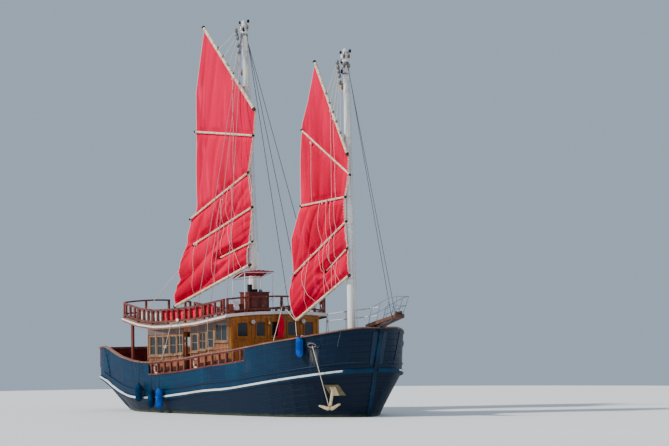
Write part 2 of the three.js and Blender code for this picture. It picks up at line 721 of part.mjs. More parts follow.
function doorHinges() {
  const floor = deckZ((DOORWAY[0] + DOORWAY[1]) / 2);
  const [low, high] = [floor + DOORWAY[2] + 10, floor + DOORWAY[3] - 10];
  const [ax, ay] = doorAxis();
  return HINGE_HEIGHTS.map((t) => {
    const z = low + t * (high - low) - GAP;
    const lug = box([ax - 60, ay, z - 60], [ax, HOUSE.half - HOUSE.wall + 20, z]);
    return join([rod([ax, ay, z - 60], [ax, ay, z], DOOR.barrel, 16), lug]);
  });
}

// Balustrades of the upper deck
const RAIL = { inset: 60, height: 720, low: 130, width: 80, thick: 80, pitch: 500, post: 90, end: 160 };
const RAIL_POST = { half: 45, sunk: 60, below: 20, pitch: 1500 };

function railPost(x, y) {
  const { half, sunk, below } = RAIL_POST;
  const z = roofTop(x, y);
  return box([x - half, y - half, z - sunk], [x + half, y + half, z + RAIL.height - below]);
}

function makeRailSide(side) {
  const lineOf = (x) => {
    const y = straight(ROOF, x, 2) - RAIL.inset;
    return [x, y, roofTop(x, y)];
  };
  const [from, to] = [ROOF[0][0] + RAIL.end, ROOF.at(-1)[0] - RAIL.end];
  const between = ROOF.map(([x]) => x).filter((x) => x > from && x < to);
  const body = balustrade({
    from, to, pitch: RAIL.pitch, lineOf, stops: [from, ...between, to],
    low: RAIL.low, high: RAIL.height - RAIL.thick / 2, railWidth: RAIL.width, railHeight: RAIL.thick,
    post: RAIL.post,
  });
  const feet = range(from + 60, to - 60, RAIL_POST.pitch).map((x) => railPost(x, lineOf(x)[1]));
  return onSide(onRoof(join([body, ...feet])), side);
}

function makeRailAcross(x, stretches, postYs) {
  const railAt = (height, [y0, y1]) => sweep(
    range(y0, y1, 400).map((y) => [x, y, roofTop(x, y) + height]), rectangle(RAIL.width, RAIL.thick),
  );
  const rails = stretches.flatMap((s) => [railAt(RAIL.low, s), railAt(RAIL.height - RAIL.thick / 2, s)]);
  return onRoof(join([...rails, ...postYs.map((y) => railPost(x, y))]));
}

function makeRailFront() {
  const half = ROOF.at(-1)[2] - RAIL.inset - RAIL.width / 2 - 2;
  const end = half - RAIL_POST.half;
  return makeRailAcross(ROOF.at(-1)[0] - RAIL.inset, [[-half, half]], [-end, -1700, 300, 1500, end]);
}

// The after rail leaves a gap for the ladder on the port side of the middle
const LADDER = { y: 1110, half: 380, foot: -7800 };

function makeRailAft() {
  const x = ROOF[0][0] + RAIL.inset;
  const half = ROOF[0][2] - RAIL.inset - RAIL.width / 2 - 40;
  const gap = [LADDER.y - LADDER.half - 60, LADDER.y + LADDER.half + 60];
  const [post, z] = [RAIL_POST.half, roofTop(x, LADDER.y)];
  const sill = box([x - post, gap[0] - 10, z - RAIL_POST.sunk], [x + post, gap[1] + 10, z + 40]);
  const posts = [-half + post, -700, gap[0] - post, gap[1] + post, half - post];
  return join([makeRailAcross(x, [[-half, gap[0]], [gap[1], half]], posts), onRoof(sill)]);
}

// Posts under the after end of the upper deck, standing on the cap rail
function makePost(side) {
  const [x, y] = [-6060, 2120];
  const foot = deckZ(x);
  const post = box([x - 70, y - 50, foot + GAP], [x + 70, y + 50, roofTop(x, y) - 30]);
  return onSide(trimmed(post), side);
}

// Ladder from the after deck to the upper deck
function makeLadder() {
  const [topX, footX] = [ROOF[0][0] - 50, LADDER.foot];
  const [topZ, footZ] = [roofTop(ROOF[0][0], LADDER.y) - 20, deckZ(LADDER.foot) + 6];
  const [y0, y1] = [LADDER.y - LADDER.half, LADDER.y + LADDER.half];
  const side = [y0, y1].map((y) => sweep([[footX, y, footZ], [topX, y, topZ]], rectangle(40, 110)));
  const treads = range(0.08, 0.94, 0.122).map((t) => {
    const [x, z] = [footX + t * (topX - footX), footZ + t * (topZ - footZ)];
    return box([x - 80, y0, z - 15], [x + 80, y1, z + 15]);
  });
  const lip = box([topX - 40, y0 - 20, topZ - 90], [ROOF[0][0] - GAP, y1 + 20, topZ - 40]);
  const keepOut = join([hull.translate([0, 0, GAP]), roofSolid.translate([-GAP, 0, 0])]);
  return join([...side, ...treads, lip]).subtract(keepOut);
}

// Helm stand, cabinet and wheel on the upper deck
const CONSOLE = { aft: 1550, fore: 2250, starboard: -1360, port: -240, top: 5550 };

function makeConsole() {
  const c = CONSOLE;
  const body = box([c.aft, c.starboard, 4300], [c.fore, c.port, c.top - 50]);
  const lid = box([c.aft - 30, c.starboard - 30, c.top - 50], [c.fore + 30, c.port + 30, c.top]);
  const boss = rod([c.aft - 60, WHEEL.y, WHEEL.z], [c.aft + 20, WHEEL.y, WHEEL.z], 60, 16);
  return onRoof(join([body, lid, boss]));
}

const WHEEL = { y: -800, z: 5200, x: 1460, radius: 360, spokes: 8 };

function makeWheel() {
  const w = WHEEL;
  const rim = new THREE.TorusGeometry(w.radius * 0.78, 24, 5, 16);
  rim.rotateY(Math.PI / 2);
  rim.translate(w.x, w.y, w.z);
  const hub = rod([w.x - 45, w.y, w.z], [CONSOLE.aft - 60 - GAP, w.y, w.z], 55, 16);
  const spokes = range(0, 7, 1).map((k) => {
    const turn = (k * 2 * Math.PI) / w.spokes;
    const tip = [w.x, w.y + w.radius * Math.cos(turn), w.z + w.radius * Math.sin(turn)];
    return rod([w.x, w.y, w.z], tip, 15, 4, 18);
  });
  return join([solidOf(rim), hub, ...spokes]);
}

function makeLocker() {
  const [x0, x1, y0, y1] = [1700, 2250, -2150, -1650];
  const top = 4970;
  const body = box([x0, y0, 4300], [x1, y1, top]);
  const lid = box([x0 - 20, y0 - 20, top], [x1 + 20, y1 + 20, top + 35]);
  return onRoof(join([body, lid]));
}

// Sun canopy over the helm. Corners: x, y, z.
const CANOPY = {
  foreStarboard: [2430, -1780, 6480], forePort: [2430, -60, 6480],
  aftStarboard: [1200, -1600, 6150], aftPort: [1200, 120, 6290],
};
const CANOPY_THICK = 25;
const CANOPY_RISE = { along: 70, across: 60 };
const CANOPY_POLE = { radius: 20, middle: [1815, -830], inward: 0.08 };

function makeCanopy() {
  const c = CANOPY;
  const rings = range(0, 1, 0.25).map((s) => {
    const [fore, aft] = [mix(c.foreStarboard, c.forePort, s), mix(c.aftStarboard, c.aftPort, s)];
    const row = range(0, 1, 0.25).map((t) => {
      const p = mix(aft, fore, t);
      const rise = CANOPY_RISE.along * Math.sin(Math.PI * t) + CANOPY_RISE.across * Math.sin(Math.PI * s);
      return [p[0], p[1], p[2] + rise];
    });
    return [...row, ...row.map(([x, y, z]) => [x, y, z - CANOPY_THICK]).reverse()];
  });
  return loft(rings);
}

function makeCanopyFrame() {
  const c = CANOPY;
  const { radius, middle, inward } = CANOPY_POLE;
  const under = CANOPY_THICK + radius + 3;
  const lowered = ([x, y, z]) => [x, y, z - under];
  const corners = [c.foreStarboard, c.forePort, c.aftPort, c.aftStarboard]
    .map((p) => mix(p, [...middle, p[2]], inward));
  const posts = corners.map((p) => rod([p[0], p[1], roofTop(p[0], p[1]) - 30], lowered(p), radius, 8));
  const bars = corners.map((p, k) => rod(lowered(p), lowered(corners[(k + 1) % 4]), radius, 8));
  return onRoof(join([...posts, ...bars]));
}

// Bowsprit platform over the stem
const SPRIT = {
  aft: 9480, fore: 11330, aftHalf: 420, foreHalf: 260, thick: 150,
  from: 9700, z0: 4000, z1: 4390,   // z of its middle at from and at its fore end
};
const KNEE = { line: [[9560, 3780], [10240, 3900]], fore: 10900, half: 90 };
const ROLLER = { x: 11220, rise: 150, radius: 70, half: 140, cheek: 27, reach: 80 };
const PADS = { x: [9540, 9800], y: [330, 420], z: [3880, 4000] };

function spritZ(x) {
  return SPRIT.z0 + ((x - SPRIT.from) * (SPRIT.z1 - SPRIT.z0)) / (SPRIT.fore - SPRIT.from);
}

function makeBowsprit() {
  const s = SPRIT;
  const ring = (x, half) => {
    const top = spritZ(x) + s.thick / 2;
    return [[x, -half, top - s.thick], [x, half, top - s.thick], [x, half, top], [x, -half, top]];
  };
  const plank = loft([ring(s.aft, s.aftHalf), ring(10150, s.aftHalf), ring(s.fore, s.foreHalf)]);
  const [kneeAft] = KNEE.line[0];
  const knee = plateXZ([...KNEE.line, [KNEE.fore, spritZ(KNEE.fore)], [kneeAft, spritZ(kneeAft)]],
    -KNEE.half, KNEE.half);
  const r = ROLLER;
  const axle = spritZ(r.x) + r.rise;
  const roller = rod([r.x, -r.half, axle], [r.x, r.half, axle], r.radius, 12);
  const cheek = box([r.x - r.reach, r.half - 2, spritZ(r.x - r.reach) + 40],
    [r.x + r.reach, r.half - 2 + r.cheek, axle + 90]);
  const pad = box([PADS.x[0], PADS.y[0], PADS.z[0]], [PADS.x[1], PADS.y[1], PADS.z[1]]);
  const pairs = join([cheek, pad]);
  const rails = join([capRailPort, mirrorY(capRailPort), bowWall]);
  const lifted = [0, 0, GAP];
  const stem = join([keel, keel.translate([GAP, 0, 0]), keel.translate(lifted)]);
  const keepOut = join([rails, rails.translate(lifted), stem]);
  return join([plank, knee, roller, pairs, mirrorY(pairs)]).subtract(keepOut);
}

// Stainless pulpit round the platform, and the white rails that lead to it
const PULPIT = {
  radius: 19,
  // foot x, half-width at the foot, head x, half-width at the head, height of the head
  posts: [[9640, 385, 9900, 385, 4780], [10200, 385, 10480, 390, 4970], [10750, 300, 11080, 380, 5170],
    [11230, 230, 11560, 330, 5240]],
  middle: 0.52,
  nose: [11830, 5225],
  middleNose: [11670, 4838],
};

function makePulpit() {
  const { radius, posts } = PULPIT;
  const foot = ([x, y]) => [x, y, spritZ(x) + SPRIT.thick / 2 - 30];
  const head = ([, , x, y, z]) => [x, y, z];
  const railAt = (t, [x, z]) => {
    const one = posts.map((post) => mix(foot(post), head(post), t));
    const other = one.map(([px, py, pz]) => [px, -py, pz]).reverse();
    return tube([...one, [x - 60, 150, z], [x, 0, z], [x - 60, -150, z], ...other], radius, 6);
  };
  const legs = posts.flatMap((post) => [PORT, STARBOARD].map((side) => {
    const [low, high] = [foot(post), head(post)].map(([x, y, z]) => [x, side * y, z]);
    return rod(low, high, radius, 6);
  }));
  const rails = [railAt(1, PULPIT.nose), railAt(PULPIT.middle, PULPIT.middleNose)];
  return join([...rails, ...legs]).subtract(join([sprit, sprit.translate([0, 0, GAP])]));
}

// White pipe rails across the port side of the fore deck, from the upper deck to the pulpit
const SIDE_RAIL = {
  radius: 24, aft: [2540.5, 2820], fore: [9400, 400],   // x and y of the ends
  heights: [[4490, 4780], [4180, 4410]],                // z of the after and fore end of each pipe
  posts: [0.02, 0.39],                                  // where the stanchions stand, 0 to 1
  spread: 260,                                          // half the spread of the first one's two legs
};

function makeSideRail() {
  const { radius, aft, fore, heights, posts, spread } = SIDE_RAIL;
  const pipes = heights.map(([z0, z1]) => rod([...aft, z0], [...fore, z1], radius, 8));
  const at = (t) => [...mix(aft, fore, t), heights[0][0] + t * (heights[0][1] - heights[0][0])];
  const stand = (t, lean) => {
    const head = at(t);
    return rod([head[0] + lean, head[1], deckZ(head[0]) - 60], head, radius, 8);
  };
  const stands = [stand(posts[0], -spread), stand(posts[0], spread), stand(posts[1], 0)];
  const keepOut = join([hullWithGap, roofSolid, roofSolid.translate([GAP, 0, 0])]);
  return join([...pipes, ...stands]).subtract(keepOut);
}

// Standing rigging, which ends on a plate against the flat of the mast
const STAY = { radius: 14, half: 30, foreZ: 15600, mainZ: 17450, reach: 80, step: 70 };
const FORESTAY_FEET = [10780, 11050];
const SHROUD_FEET = { y: 2740, x: [-50, 1030, 2350] };

function mastFlat(mast, z) {
  return mastRadius(mast, z) * Math.cos(Math.PI / MAST_SIDES) + GAP;
}

function makeForestays() {
  const { half, reach, step, foreZ } = STAY;
  const [x, flat] = [mastX(MAST.fore, foreZ), mastFlat(MAST.fore, foreZ - 2 * step) + 2];
  const plate = box([x + flat, -half, foreZ - step - half], [x + flat + reach, half, foreZ + half]);
  const lines = FORESTAY_FEET.map((foot, k) => {
    const low = [foot, 0, spritZ(foot) + SPRIT.thick / 2 - 20];
    return rod(low, [x + flat + reach / 2, 0, foreZ - k * step], STAY.radius, 6);
  });
  return join([...lines, plate]).subtract(join([sprit, sprit.translate([0, 0, GAP])]));
}

function makeShrouds(side) {
  const { half, reach, step, mainZ } = STAY;
  const [x, flat] = [mastX(MAST.main, mainZ), mastFlat(MAST.main, mainZ - 3 * step)];
  const plate = box([x - half, flat, mainZ - 2 * step - half], [x + half, flat + reach, mainZ + half]);
  const { y } = SHROUD_FEET;
  const lines = SHROUD_FEET.x.map((foot, k) => rod(
    [foot, y, roofTop(foot, y) - 40], [x, flat + reach / 2, mainZ - k * step], STAY.radius, 6,
  ));
  return onSide(onRoof(join([...lines, plate])), side);
}

// Ground tackle: an old rusty anchor that hangs against the starboard bow
const ANCHOR = {
  plate: [[8600, -2400, 960], [8980, -1000, 1440]],     // corners of the rubbing plate on the planking
  plateThick: 45,
  head: [8800, 1300], crown: [8690, 420],               // x and z of the shank's ends
  shank: 68, fluke: 60, crownHalf: 130,
  rake: 0.9,                                            // how far it turns with the planking, y per x
  plateShift: 0.4,                                      // forward shift of the plate per thickness
  tips: [[8360, 560], [9000, 620]],                     // x and z of the flukes' tips
};

function makeAnchor() {
  const a = ANCHOR;
  const y = -hullAt(...a.head) - 30;
  const onFace = ([x, z], away = 0) => [x, y - away + (x - a.head[0]) * a.rake, z];
  const shifted = hull.translate([a.plateShift * a.plateThick, -a.plateThick, 0]);
  const plate = shifted.intersect(box(...a.plate));
  const shank = rod(onFace(a.head), onFace(a.crown), a.shank, 12, a.shank * 0.85);
  const [crownX, crownZ] = a.crown;
  const ends = [crownX - a.crownHalf, crownX + a.crownHalf].map((x) => onFace([x, crownZ]));
  const block = rod(...ends, a.shank, 10);
  const flukes = a.tips.map(([x, z]) => {
    const root = crownX + Math.sign(x - crownX) * 60;
    const outline = [[root, crownZ - 90], [root, crownZ + 50], [x, z], [x, z - 60]];
    return loft([-a.fluke, a.fluke].map((away) => outline.map((point) => onFace(point, away))));
  });
  return join([plate, shank, block, ...flukes]).subtract(hullGrown);
}

// Fenders outside the starboard side and life rings inside its balusters.
// Columns: x, z of the middle, length.
const FENDERS = [[-4360, 920, 830], [-3220, 680, 860], [-2500, 690, 980], [7980, 3080, 880]];
const FENDER_RADIUS = 165;
// One end of a fender. Columns: radius, distance from the end.
const FENDER_END = [[0, 0], [60, 0], [120, 50], [FENDER_RADIUS, 140]];

function makeFender([x, z, length], carrier) {
  const low = FENDER_END.map(([r, h]) => new THREE.Vector2(r, h - length / 2));
  const high = FENDER_END.map(([r, h]) => new THREE.Vector2(r, length / 2 - h)).reverse();
  const geometry = new THREE.LatheGeometry([...low, ...high], 16);
  geometry.rotateX(Math.PI / 2);
  geometry.translate(x, -sheerB(x) - 400, z);
  return seat(solidOf(geometry), [0, 1, 0], carrier);
}

const LIFE_RINGS = [-3100, 172];
const LIFE_RING = { radius: 205, tube: 48, below: 280, inside: 400 };

function makeLifeRing(x, carrier) {
  const geometry = new THREE.TorusGeometry(LIFE_RING.radius, LIFE_RING.tube, 6, 20);
  geometry.rotateX(Math.PI / 2);
  geometry.translate(x, -sheerB(x) + LIFE_RING.inside, sheerZ(x) - CAP_THICK - LIFE_RING.below);
  return seat(solidOf(geometry), [0, -1, 0], carrier);
}

// Rudder and propeller under the counter
const RUDDER = { x: -7720, radius: 55, half: 35, top: -480, tail: [[-980, -1340], [-940, -480]] };
const SHAFT_Z = -1000;
const PROPELLER = { x: -7180, radius: 370, hub: 75, blades: 4 };
// A blade from its root out. Columns: radius, chord, thickness, pitch in degrees.
const BLADE = [[40, 130, 34, 25], [170, 230, 24, 40], [300, 220, 16, 55], [PROPELLER.radius, 90, 8, 62]];

function makeRudder() {
  const r = RUDDER;
  const above = box([r.x - r.radius, -r.radius, SHOE_TOP_Z], [r.x + r.radius, r.radius, 0]);
  const top = hull.intersect(above).boundingBox().min[2] - GAP;
  const low = SHOE_TOP_Z + 40;
  const outline = [[-30, r.top], [40, r.top], [60, low], [-300, low], ...r.tail];
  const blade = plateXZ(outline.map(([x, z]) => [r.x + x, z]), -r.half, r.half);
  return join([blade, rod([r.x, 0, SHOE_TOP_Z + GAP], [r.x, 0, top], r.radius, 16)]);
}

function makePropeller() {
  const p = PROPELLER;
  const hub = rod([p.x - 110, 0, SHAFT_Z], [STERNPOST_X - GAP, 0, SHAFT_Z], p.hub, 16, p.hub);
  const blades = range(0, p.blades - 1, 1).map((k) => {
    const blade = loft(BLADE.map(([r, chord, thick, pitch]) => {
      const turn = THREE.MathUtils.degToRad(pitch);
      return rectangle(chord, thick).map(([u, v]) => [
        p.x + u * Math.cos(turn) - v * Math.sin(turn), u * Math.sin(turn) + v * Math.cos(turn), SHAFT_Z + r,
      ]);
    }));
    const half = new THREE.Matrix4().makeTranslation(0, 0, SHAFT_Z)
      .multiply(new THREE.Matrix4().makeRotationX((k * 2 * Math.PI) / p.blades))
      .multiply(new THREE.Matrix4().makeTranslation(0, 0, -SHAFT_Z));
    return blade.transform(half.elements);
  });
  return join([hub, ...blades]);
}

// Batten sails. Rows: x and z of the after end, x and z of the fore end, radius.
// The cloth lies on the starboard side of its mast and the spars outside the cloth.
const SAILS = {
  main: {
    mast: MAST.main, cloth: [-235, -270],
    yard: [-2590, 18050, 1410, 13890, 75],
    battens: [[-3390, 13160, 1300, 12720, 48], [-3860, 9030, 870, 11060, 48], [-3640, 7810, 1180, 9460, 48],
      [-1490, 7160, 1150, 7880, 40]],
    boom: [-5150, 4930, 980, 6808, 70],
    leech: [[-2575, 18034], [-3280, 14980], [-3330, 13160], [-3330, 10900], [-3360, 9480], [-3800, 9030],
      [-4010, 8300], [-4200, 7740], [-4790, 6520], [-5220, 5500], [-5130, 4937]],
    luff: [[640, 6704], [760, 7700], [1000, 8700], [1080, 9460], [1050, 10300], [830, 11060], [1100, 12000],
      [1230, 12720], [1240, 13300], [1395, 13906]],
  },
  fore: {
    mast: MAST.fore, cloth: [-220, -255],
    yard: [5890, 15810, 8230, 11480, 65],
    battens: [[4850, 12780, 8390, 10580, 42], [4720, 9360, 8060, 9651, 42], [4160, 6280, 8090, 8596, 42],
      [6530, 6370, 8120, 7401, 36]],
    boom: [4270, 4180, 8290, 6210, 62],
    leech: [[5900, 15791], [5650, 15000], [4860, 12900], [4720, 11500], [4730, 9360], [4040, 7870],
      [4110, 6400], [3780, 5560], [3960, 4880], [4285, 4188]],
    luff: [[8200, 6165], [8080, 7310], [7900, 8460], [7890, 9640], [8080, 10100], [8180, 10580],
      [8215, 11508]],
  },
};
const PARREL = { tall: 40, thick: 28, clear: 1 };

function parrel(sail, z) {
  const mast = sail.mast;
  const radius = (mastRadius(mast, z - PARREL.tall / 2) + PARREL.clear) / Math.cos(Math.PI / MAST_SIDES);
  const ring = (r, half) => rod(alongMast(mast, z, -half), alongMast(mast, z, half), r, MAST_SIDES);
  return ring(radius + PARREL.thick, PARREL.tall / 2).subtract(ring(radius, PARREL.tall));
}

function parrelArm(sail, z, grow) {
  const x = mastX(sail.mast, z);
  const reach = mastRadius(sail.mast, z) + 15;
  return box([x - 25 - grow, sail.cloth[1] - 60, z - 16 - grow], [x + 25 + grow, -reach, z + 16 + grow]);
}

function sparZ([x0, z0, x1, z1], x) {
  return z0 + ((x - x0) * (z1 - z0)) / (x1 - x0);
}

function parrelHeight(sail, row) {
  let z = row[3];
  for (let k = 0; k < 4; k += 1) z = sparZ(row, mastX(sail.mast, z));
  return z;
}

const SPAR_SIDES = 10;

function sparY(sail, radius) {
  return sail.cloth[1] - GAP - radius * Math.cos(Math.PI / SPAR_SIDES);
}

function makeSpar(sail, row) {
  const [x0, z0, x1, z1, radius] = row;
  const z = parrelHeight(sail, row);
  const y = sparY(sail, radius);
  return join([rod([x0, y, z0], [x1, y, z1], radius, SPAR_SIDES), parrel(sail, z), parrelArm(sail, z, 0)]);
}

function makeBattens(sail) {
  const spars = sail.battens.map((row) => makeSpar(sail, row));
  const rope = sail.battens.map(([, , x1, z1, radius]) => [x1 - 60, sparY(sail, radius), z1]);
  return join([...spars, tube(rope, 14, 6, [0, 1, 0])]);
}

function makeSailCloth(sail) {
  const [near, far] = sail.cloth;
  const plate = plateXZ([...sail.leech, ...sail.luff], near, far);
  const spars = [sail.yard, ...sail.battens, sail.boom];
  const slots = spars.map((row) => parrelArm(sail, parrelHeight(sail, row), 6));
  return plate.subtract(join(slots));
}

// Assembly
const keel = makeKeel();
const bowWall = makeBowBulwark();
const sprit = makeBowsprit();
const foreMast = makeMast(SAILS.fore);
const mainMast = makeMast(SAILS.main);
const junk = new THREE.Group();

function add(name, body, look) {
  const [color, roughness, metalness] = LOOKS[look];
  const mesh = body.getMesh();
  const geometry = new THREE.BufferGeometry();
  geometry.setAttribute('position', new THREE.BufferAttribute(new Float32Array(mesh.vertProperties), 3));
  geometry.setIndex(new THREE.BufferAttribute(new Uint32Array(mesh.triVerts), 1));
  const material = new THREE.MeshStandardMaterial({ color, roughness, metalness });
  const piece = new THREE.Mesh(geometry, material);
  piece.name = name;
  junk.add(piece);
}

const SIDES = { starboard: STARBOARD, port: PORT };

add('hull', hull, 'hull');
add('keel', keel, 'keel');
add('bulwark_bow', bowWall, 'hull');
for (const [name, side] of Object.entries(SIDES)) {
  add(`bulwark_${name}`, onSide(bulwarkPort, side), 'hull');
  add(`balustrade_${name}`, makeBulwarkBalustrade(side), 'mahogany');
  add(`cap_rail_${name}`, onSide(capRailPort, side), 'cap');
  add(`wale_${name}`, makeWale(side), 'white');
  add(`rail_${name}`, makeRailSide(side), 'mahogany');
  add(`post_${name}`, makePost(side), 'mahogany');
  add(`shrouds_${name}`, makeShrouds(side), 'wire');
  add(`door_${name}`, makeDoor(side), 'varnish');
  const hinges = doorHinges().map((h) => onSide(h, side));
  add(`house_${name}`, join([makeHouseSide(side), ...hinges]), 'varnish');
}
add('transom_frame', makeTransomFrame(), 'mahogany');
add('house_front', makeHouseFront(), 'varnish');
add('house_aft', makeHouseAft(), 'varnish');
add('upper_deck', makeUpperDeck(), 'trim');
add('rail_front', makeRailFront(), 'mahogany');
add('rail_aft', makeRailAft(), 'mahogany');
add('ladder', makeLadder(), 'varnish');
add('console', makeConsole(), 'mahogany');
add('locker', makeLocker(), 'mahogany');
add('helm_wheel', makeWheel(), 'varnish');
const canopyFrame = makeCanopyFrame();
add('canopy', seat(makeCanopy(), [0, 0, -1], canopyFrame), 'canopy');
add('canopy_frame', canopyFrame, 'white');
add('mast_main', mainMast, 'mast');
add('mast_fore', foreMast, 'mast');
add('forestays', makeForestays(), 'wire');
add('bowsprit', sprit, 'mahogany');
add('pulpit', makePulpit(), 'steel');
add('side_rail', makeSideRail(), 'white');
add('anchor', makeAnchor(), 'iron');
const upperWorks = mirrorY(join([bulwarkPort, capRailPort]));
const topside = join([hull, upperWorks, makeWale(STARBOARD), makeBulwarkBalustrade(STARBOARD)]);
FENDERS.forEach((row, k) => add(`fender_${k + 1}`, makeFender(row, topside), 'fender'));
LIFE_RINGS.forEach((x, k) => add(`life_ring_${k + 1}`, makeLifeRing(x, topside), 'ring'));
add('rudder', makeRudder(), 'hull');
add('propeller', makePropeller(), 'bronze');
for (const [name, sail] of Object.entries(SAILS)) {
  add(`${name}_yard`, makeSpar(sail, sail.yard), 'spar');
  add(`${name}_boom`, makeSpar(sail, sail.boom), 'spar');
  add(`${name}_battens`, makeBattens(sail), 'spar');
  add(`${name}_sail`, makeSailCloth(sail), 'sail');
}

export default junk;
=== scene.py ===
# Looks of a two-masted motor junk afloat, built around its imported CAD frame.
# Metres. +X points to the bow, +Y to port, +Z up, with the origin amidships on the waterline.
import math

import bmesh
import bpy
import numpy as np
from mathutils import Matrix, Vector, noise
from mathutils.bvhtree import BVHTree


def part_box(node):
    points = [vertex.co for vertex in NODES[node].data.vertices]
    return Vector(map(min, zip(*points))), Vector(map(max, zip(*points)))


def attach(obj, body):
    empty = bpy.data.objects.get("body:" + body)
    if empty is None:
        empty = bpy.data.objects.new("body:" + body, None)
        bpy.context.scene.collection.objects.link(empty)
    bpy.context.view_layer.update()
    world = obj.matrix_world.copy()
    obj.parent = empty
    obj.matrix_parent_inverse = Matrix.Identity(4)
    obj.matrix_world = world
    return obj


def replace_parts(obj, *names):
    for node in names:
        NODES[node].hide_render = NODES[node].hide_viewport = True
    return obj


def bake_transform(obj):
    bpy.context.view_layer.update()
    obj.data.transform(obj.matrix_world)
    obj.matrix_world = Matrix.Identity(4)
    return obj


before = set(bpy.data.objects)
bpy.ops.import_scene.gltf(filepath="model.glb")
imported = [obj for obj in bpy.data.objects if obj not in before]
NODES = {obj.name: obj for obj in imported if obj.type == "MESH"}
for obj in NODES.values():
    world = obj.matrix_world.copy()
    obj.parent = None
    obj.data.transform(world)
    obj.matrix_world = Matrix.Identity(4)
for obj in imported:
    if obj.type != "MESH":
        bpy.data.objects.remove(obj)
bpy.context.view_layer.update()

SHIP, MAIN_RIG, FORE_RIG = "ship", "main_rig", "fore_rig"
STARBOARD, PORT = -1, 1
SIDES = {"starboard": STARBOARD, "port": PORT}
UPWARD, DOWNWARD, TO_PORT, AHEAD_WAY = (0, 0, 1), (0, 0, -1), (0, 1, 0), (1, 0, 0)

# Lines of the hull. Columns: x, z of the sheer, z of the wale.
LINES = [
    (-9.80, 3.01, 1.57), (-9.20, 3.04, 1.57), (-8.35, 3.10, 1.47), (-7.26, 2.88, 1.13),
    (-6.24, 2.62, 0.84), (-5.23, 2.46, 0.685), (-3.40, 2.38, 0.70), (-0.77, 2.56, 0.905),
    (0.85, 2.76, 1.065), (2.70, 2.93, 1.185), (4.20, 3.10, 1.35), (5.72, 3.29, 1.53),
    (7.42, 3.47, 1.73), (8.52, 3.64, 1.87), (9.32, 3.81, 2.00), (10.04, 3.92, 2.10),
]
# The upper deck's edge. Columns: x, z of its top, y.
ROOF_EDGE = [
    (-7.06, 4.41, 2.07), (-6.34, 4.29, 2.20), (-5.17, 4.115, 2.40), (-3.60, 4.01, 2.64), (-2.48, 4.03, 2.79),
    (-1.20, 4.08, 2.88), (0.16, 4.17, 2.90), (1.40, 4.33, 2.90), (2.54, 4.48, 2.90),
]
DECK_DROP = 0.95                    # from the sheer down to the deck
WALL_Y, FRONT_X, AFT_X = 2.520, 2.370, -4.1997
HAWSE_X, HAWSE_Z = 8.38, 3.15
PROUD = 0.0005                      # how far a fitting stands off what carries it


def row_value(table, x, column):
    """A number between the rows of a table."""
    return float(np.interp(x, [row[0] for row in table], [row[column] for row in table]))


def sheer(x):
    return row_value(LINES, x, 1)


def wale(x):
    return row_value(LINES, x, 2)


def roof_edge(x, side):
    """The upper deck's edge at x: y, and z of its lower corner."""
    return side * row_value(ROOF_EDGE, x, 2), row_value(ROOF_EDGE, x, 1) - 0.065


def smooth(t):
    t = min(1.0, max(0.0, t))
    return t * t * (3 - 2 * t)


def mix(a, b, t):
    return [p + (q - p) * t for p, q in zip(a, b)]


# Rays onto the CAD nodes, which say where a fitting touches what carries it
def skin(*names):
    points, faces = [], []
    for name in names:
        first = len(points)
        mesh = NODES[name].data
        points += [v.co.copy() for v in mesh.vertices]
        faces += [[first + k for k in p.vertices] for p in mesh.polygons]
    return BVHTree.FromPolygons(points, faces)


def hit(tree, start, way):
    return tree.ray_cast(Vector(start), Vector(way))[0]


TOPSIDES = {side: skin("hull", f"bulwark_{name}", "bulwark_bow") for name, side in SIDES.items()}
DECK, CAP_RAIL, ROOF = skin("hull"), skin("cap_rail_starboard"), skin("upper_deck")
OVERHEAD, ABEAM, AHEAD_OF_BOW = 20.0, 6.0, 14.0


def side_hit(x, z, side):
    """The planking's point and outward normal at x and z."""
    point, normal, _, _ = TOPSIDES[side].ray_cast(Vector((x, side * ABEAM, z)), Vector((0, -side, 0)))
    if point is None:
        raise ValueError(f"no planking at {x:.2f}, {z:.2f}")
    return point, normal


def bow_hit(y, z, side):
    """The planking's point at y and z, seen from the bow."""
    return hit(TOPSIDES[side], (AHEAD_OF_BOW, side * y, z), (-1, 0, 0))


def top_of(tree, x, y):
    return hit(tree, (x, y, OVERHEAD), DOWNWARD).z


def rail_edge(x, z):
    """The starboard cap rail's outer edge nearest to x and z."""
    return CAP_RAIL.find_nearest(Vector((x, -3.2, z)))[0]


# Materials: numbers worked out by nodes are written as plain arithmetic
class Value:
    def __init__(self, look, socket):
        self.look, self.socket = look, socket

    def __add__(self, other):
        return self.look.math("ADD", self, other)

    def __sub__(self, other):
        return self.look.math("SUBTRACT", self, other)

    def __rsub__(self, other):
        return self.look.math("SUBTRACT", other, self)

    def __mul__(self, other):
        return self.look.math("MULTIPLY", self, other)

    def __truediv__(self, other):
        return self.look.math("DIVIDE", self, other)

    def __abs__(self):
        return self.look.math("ABSOLUTE", self)

    def over(self, other):
        """The larger of the two."""
        return self.look.math("MAXIMUM", self, other)


DULL = 0.15
# What a table against x may span: x from -REACH to REACH, results from 0 to CEILING
REACH, CEILING = 10.2, 4.5


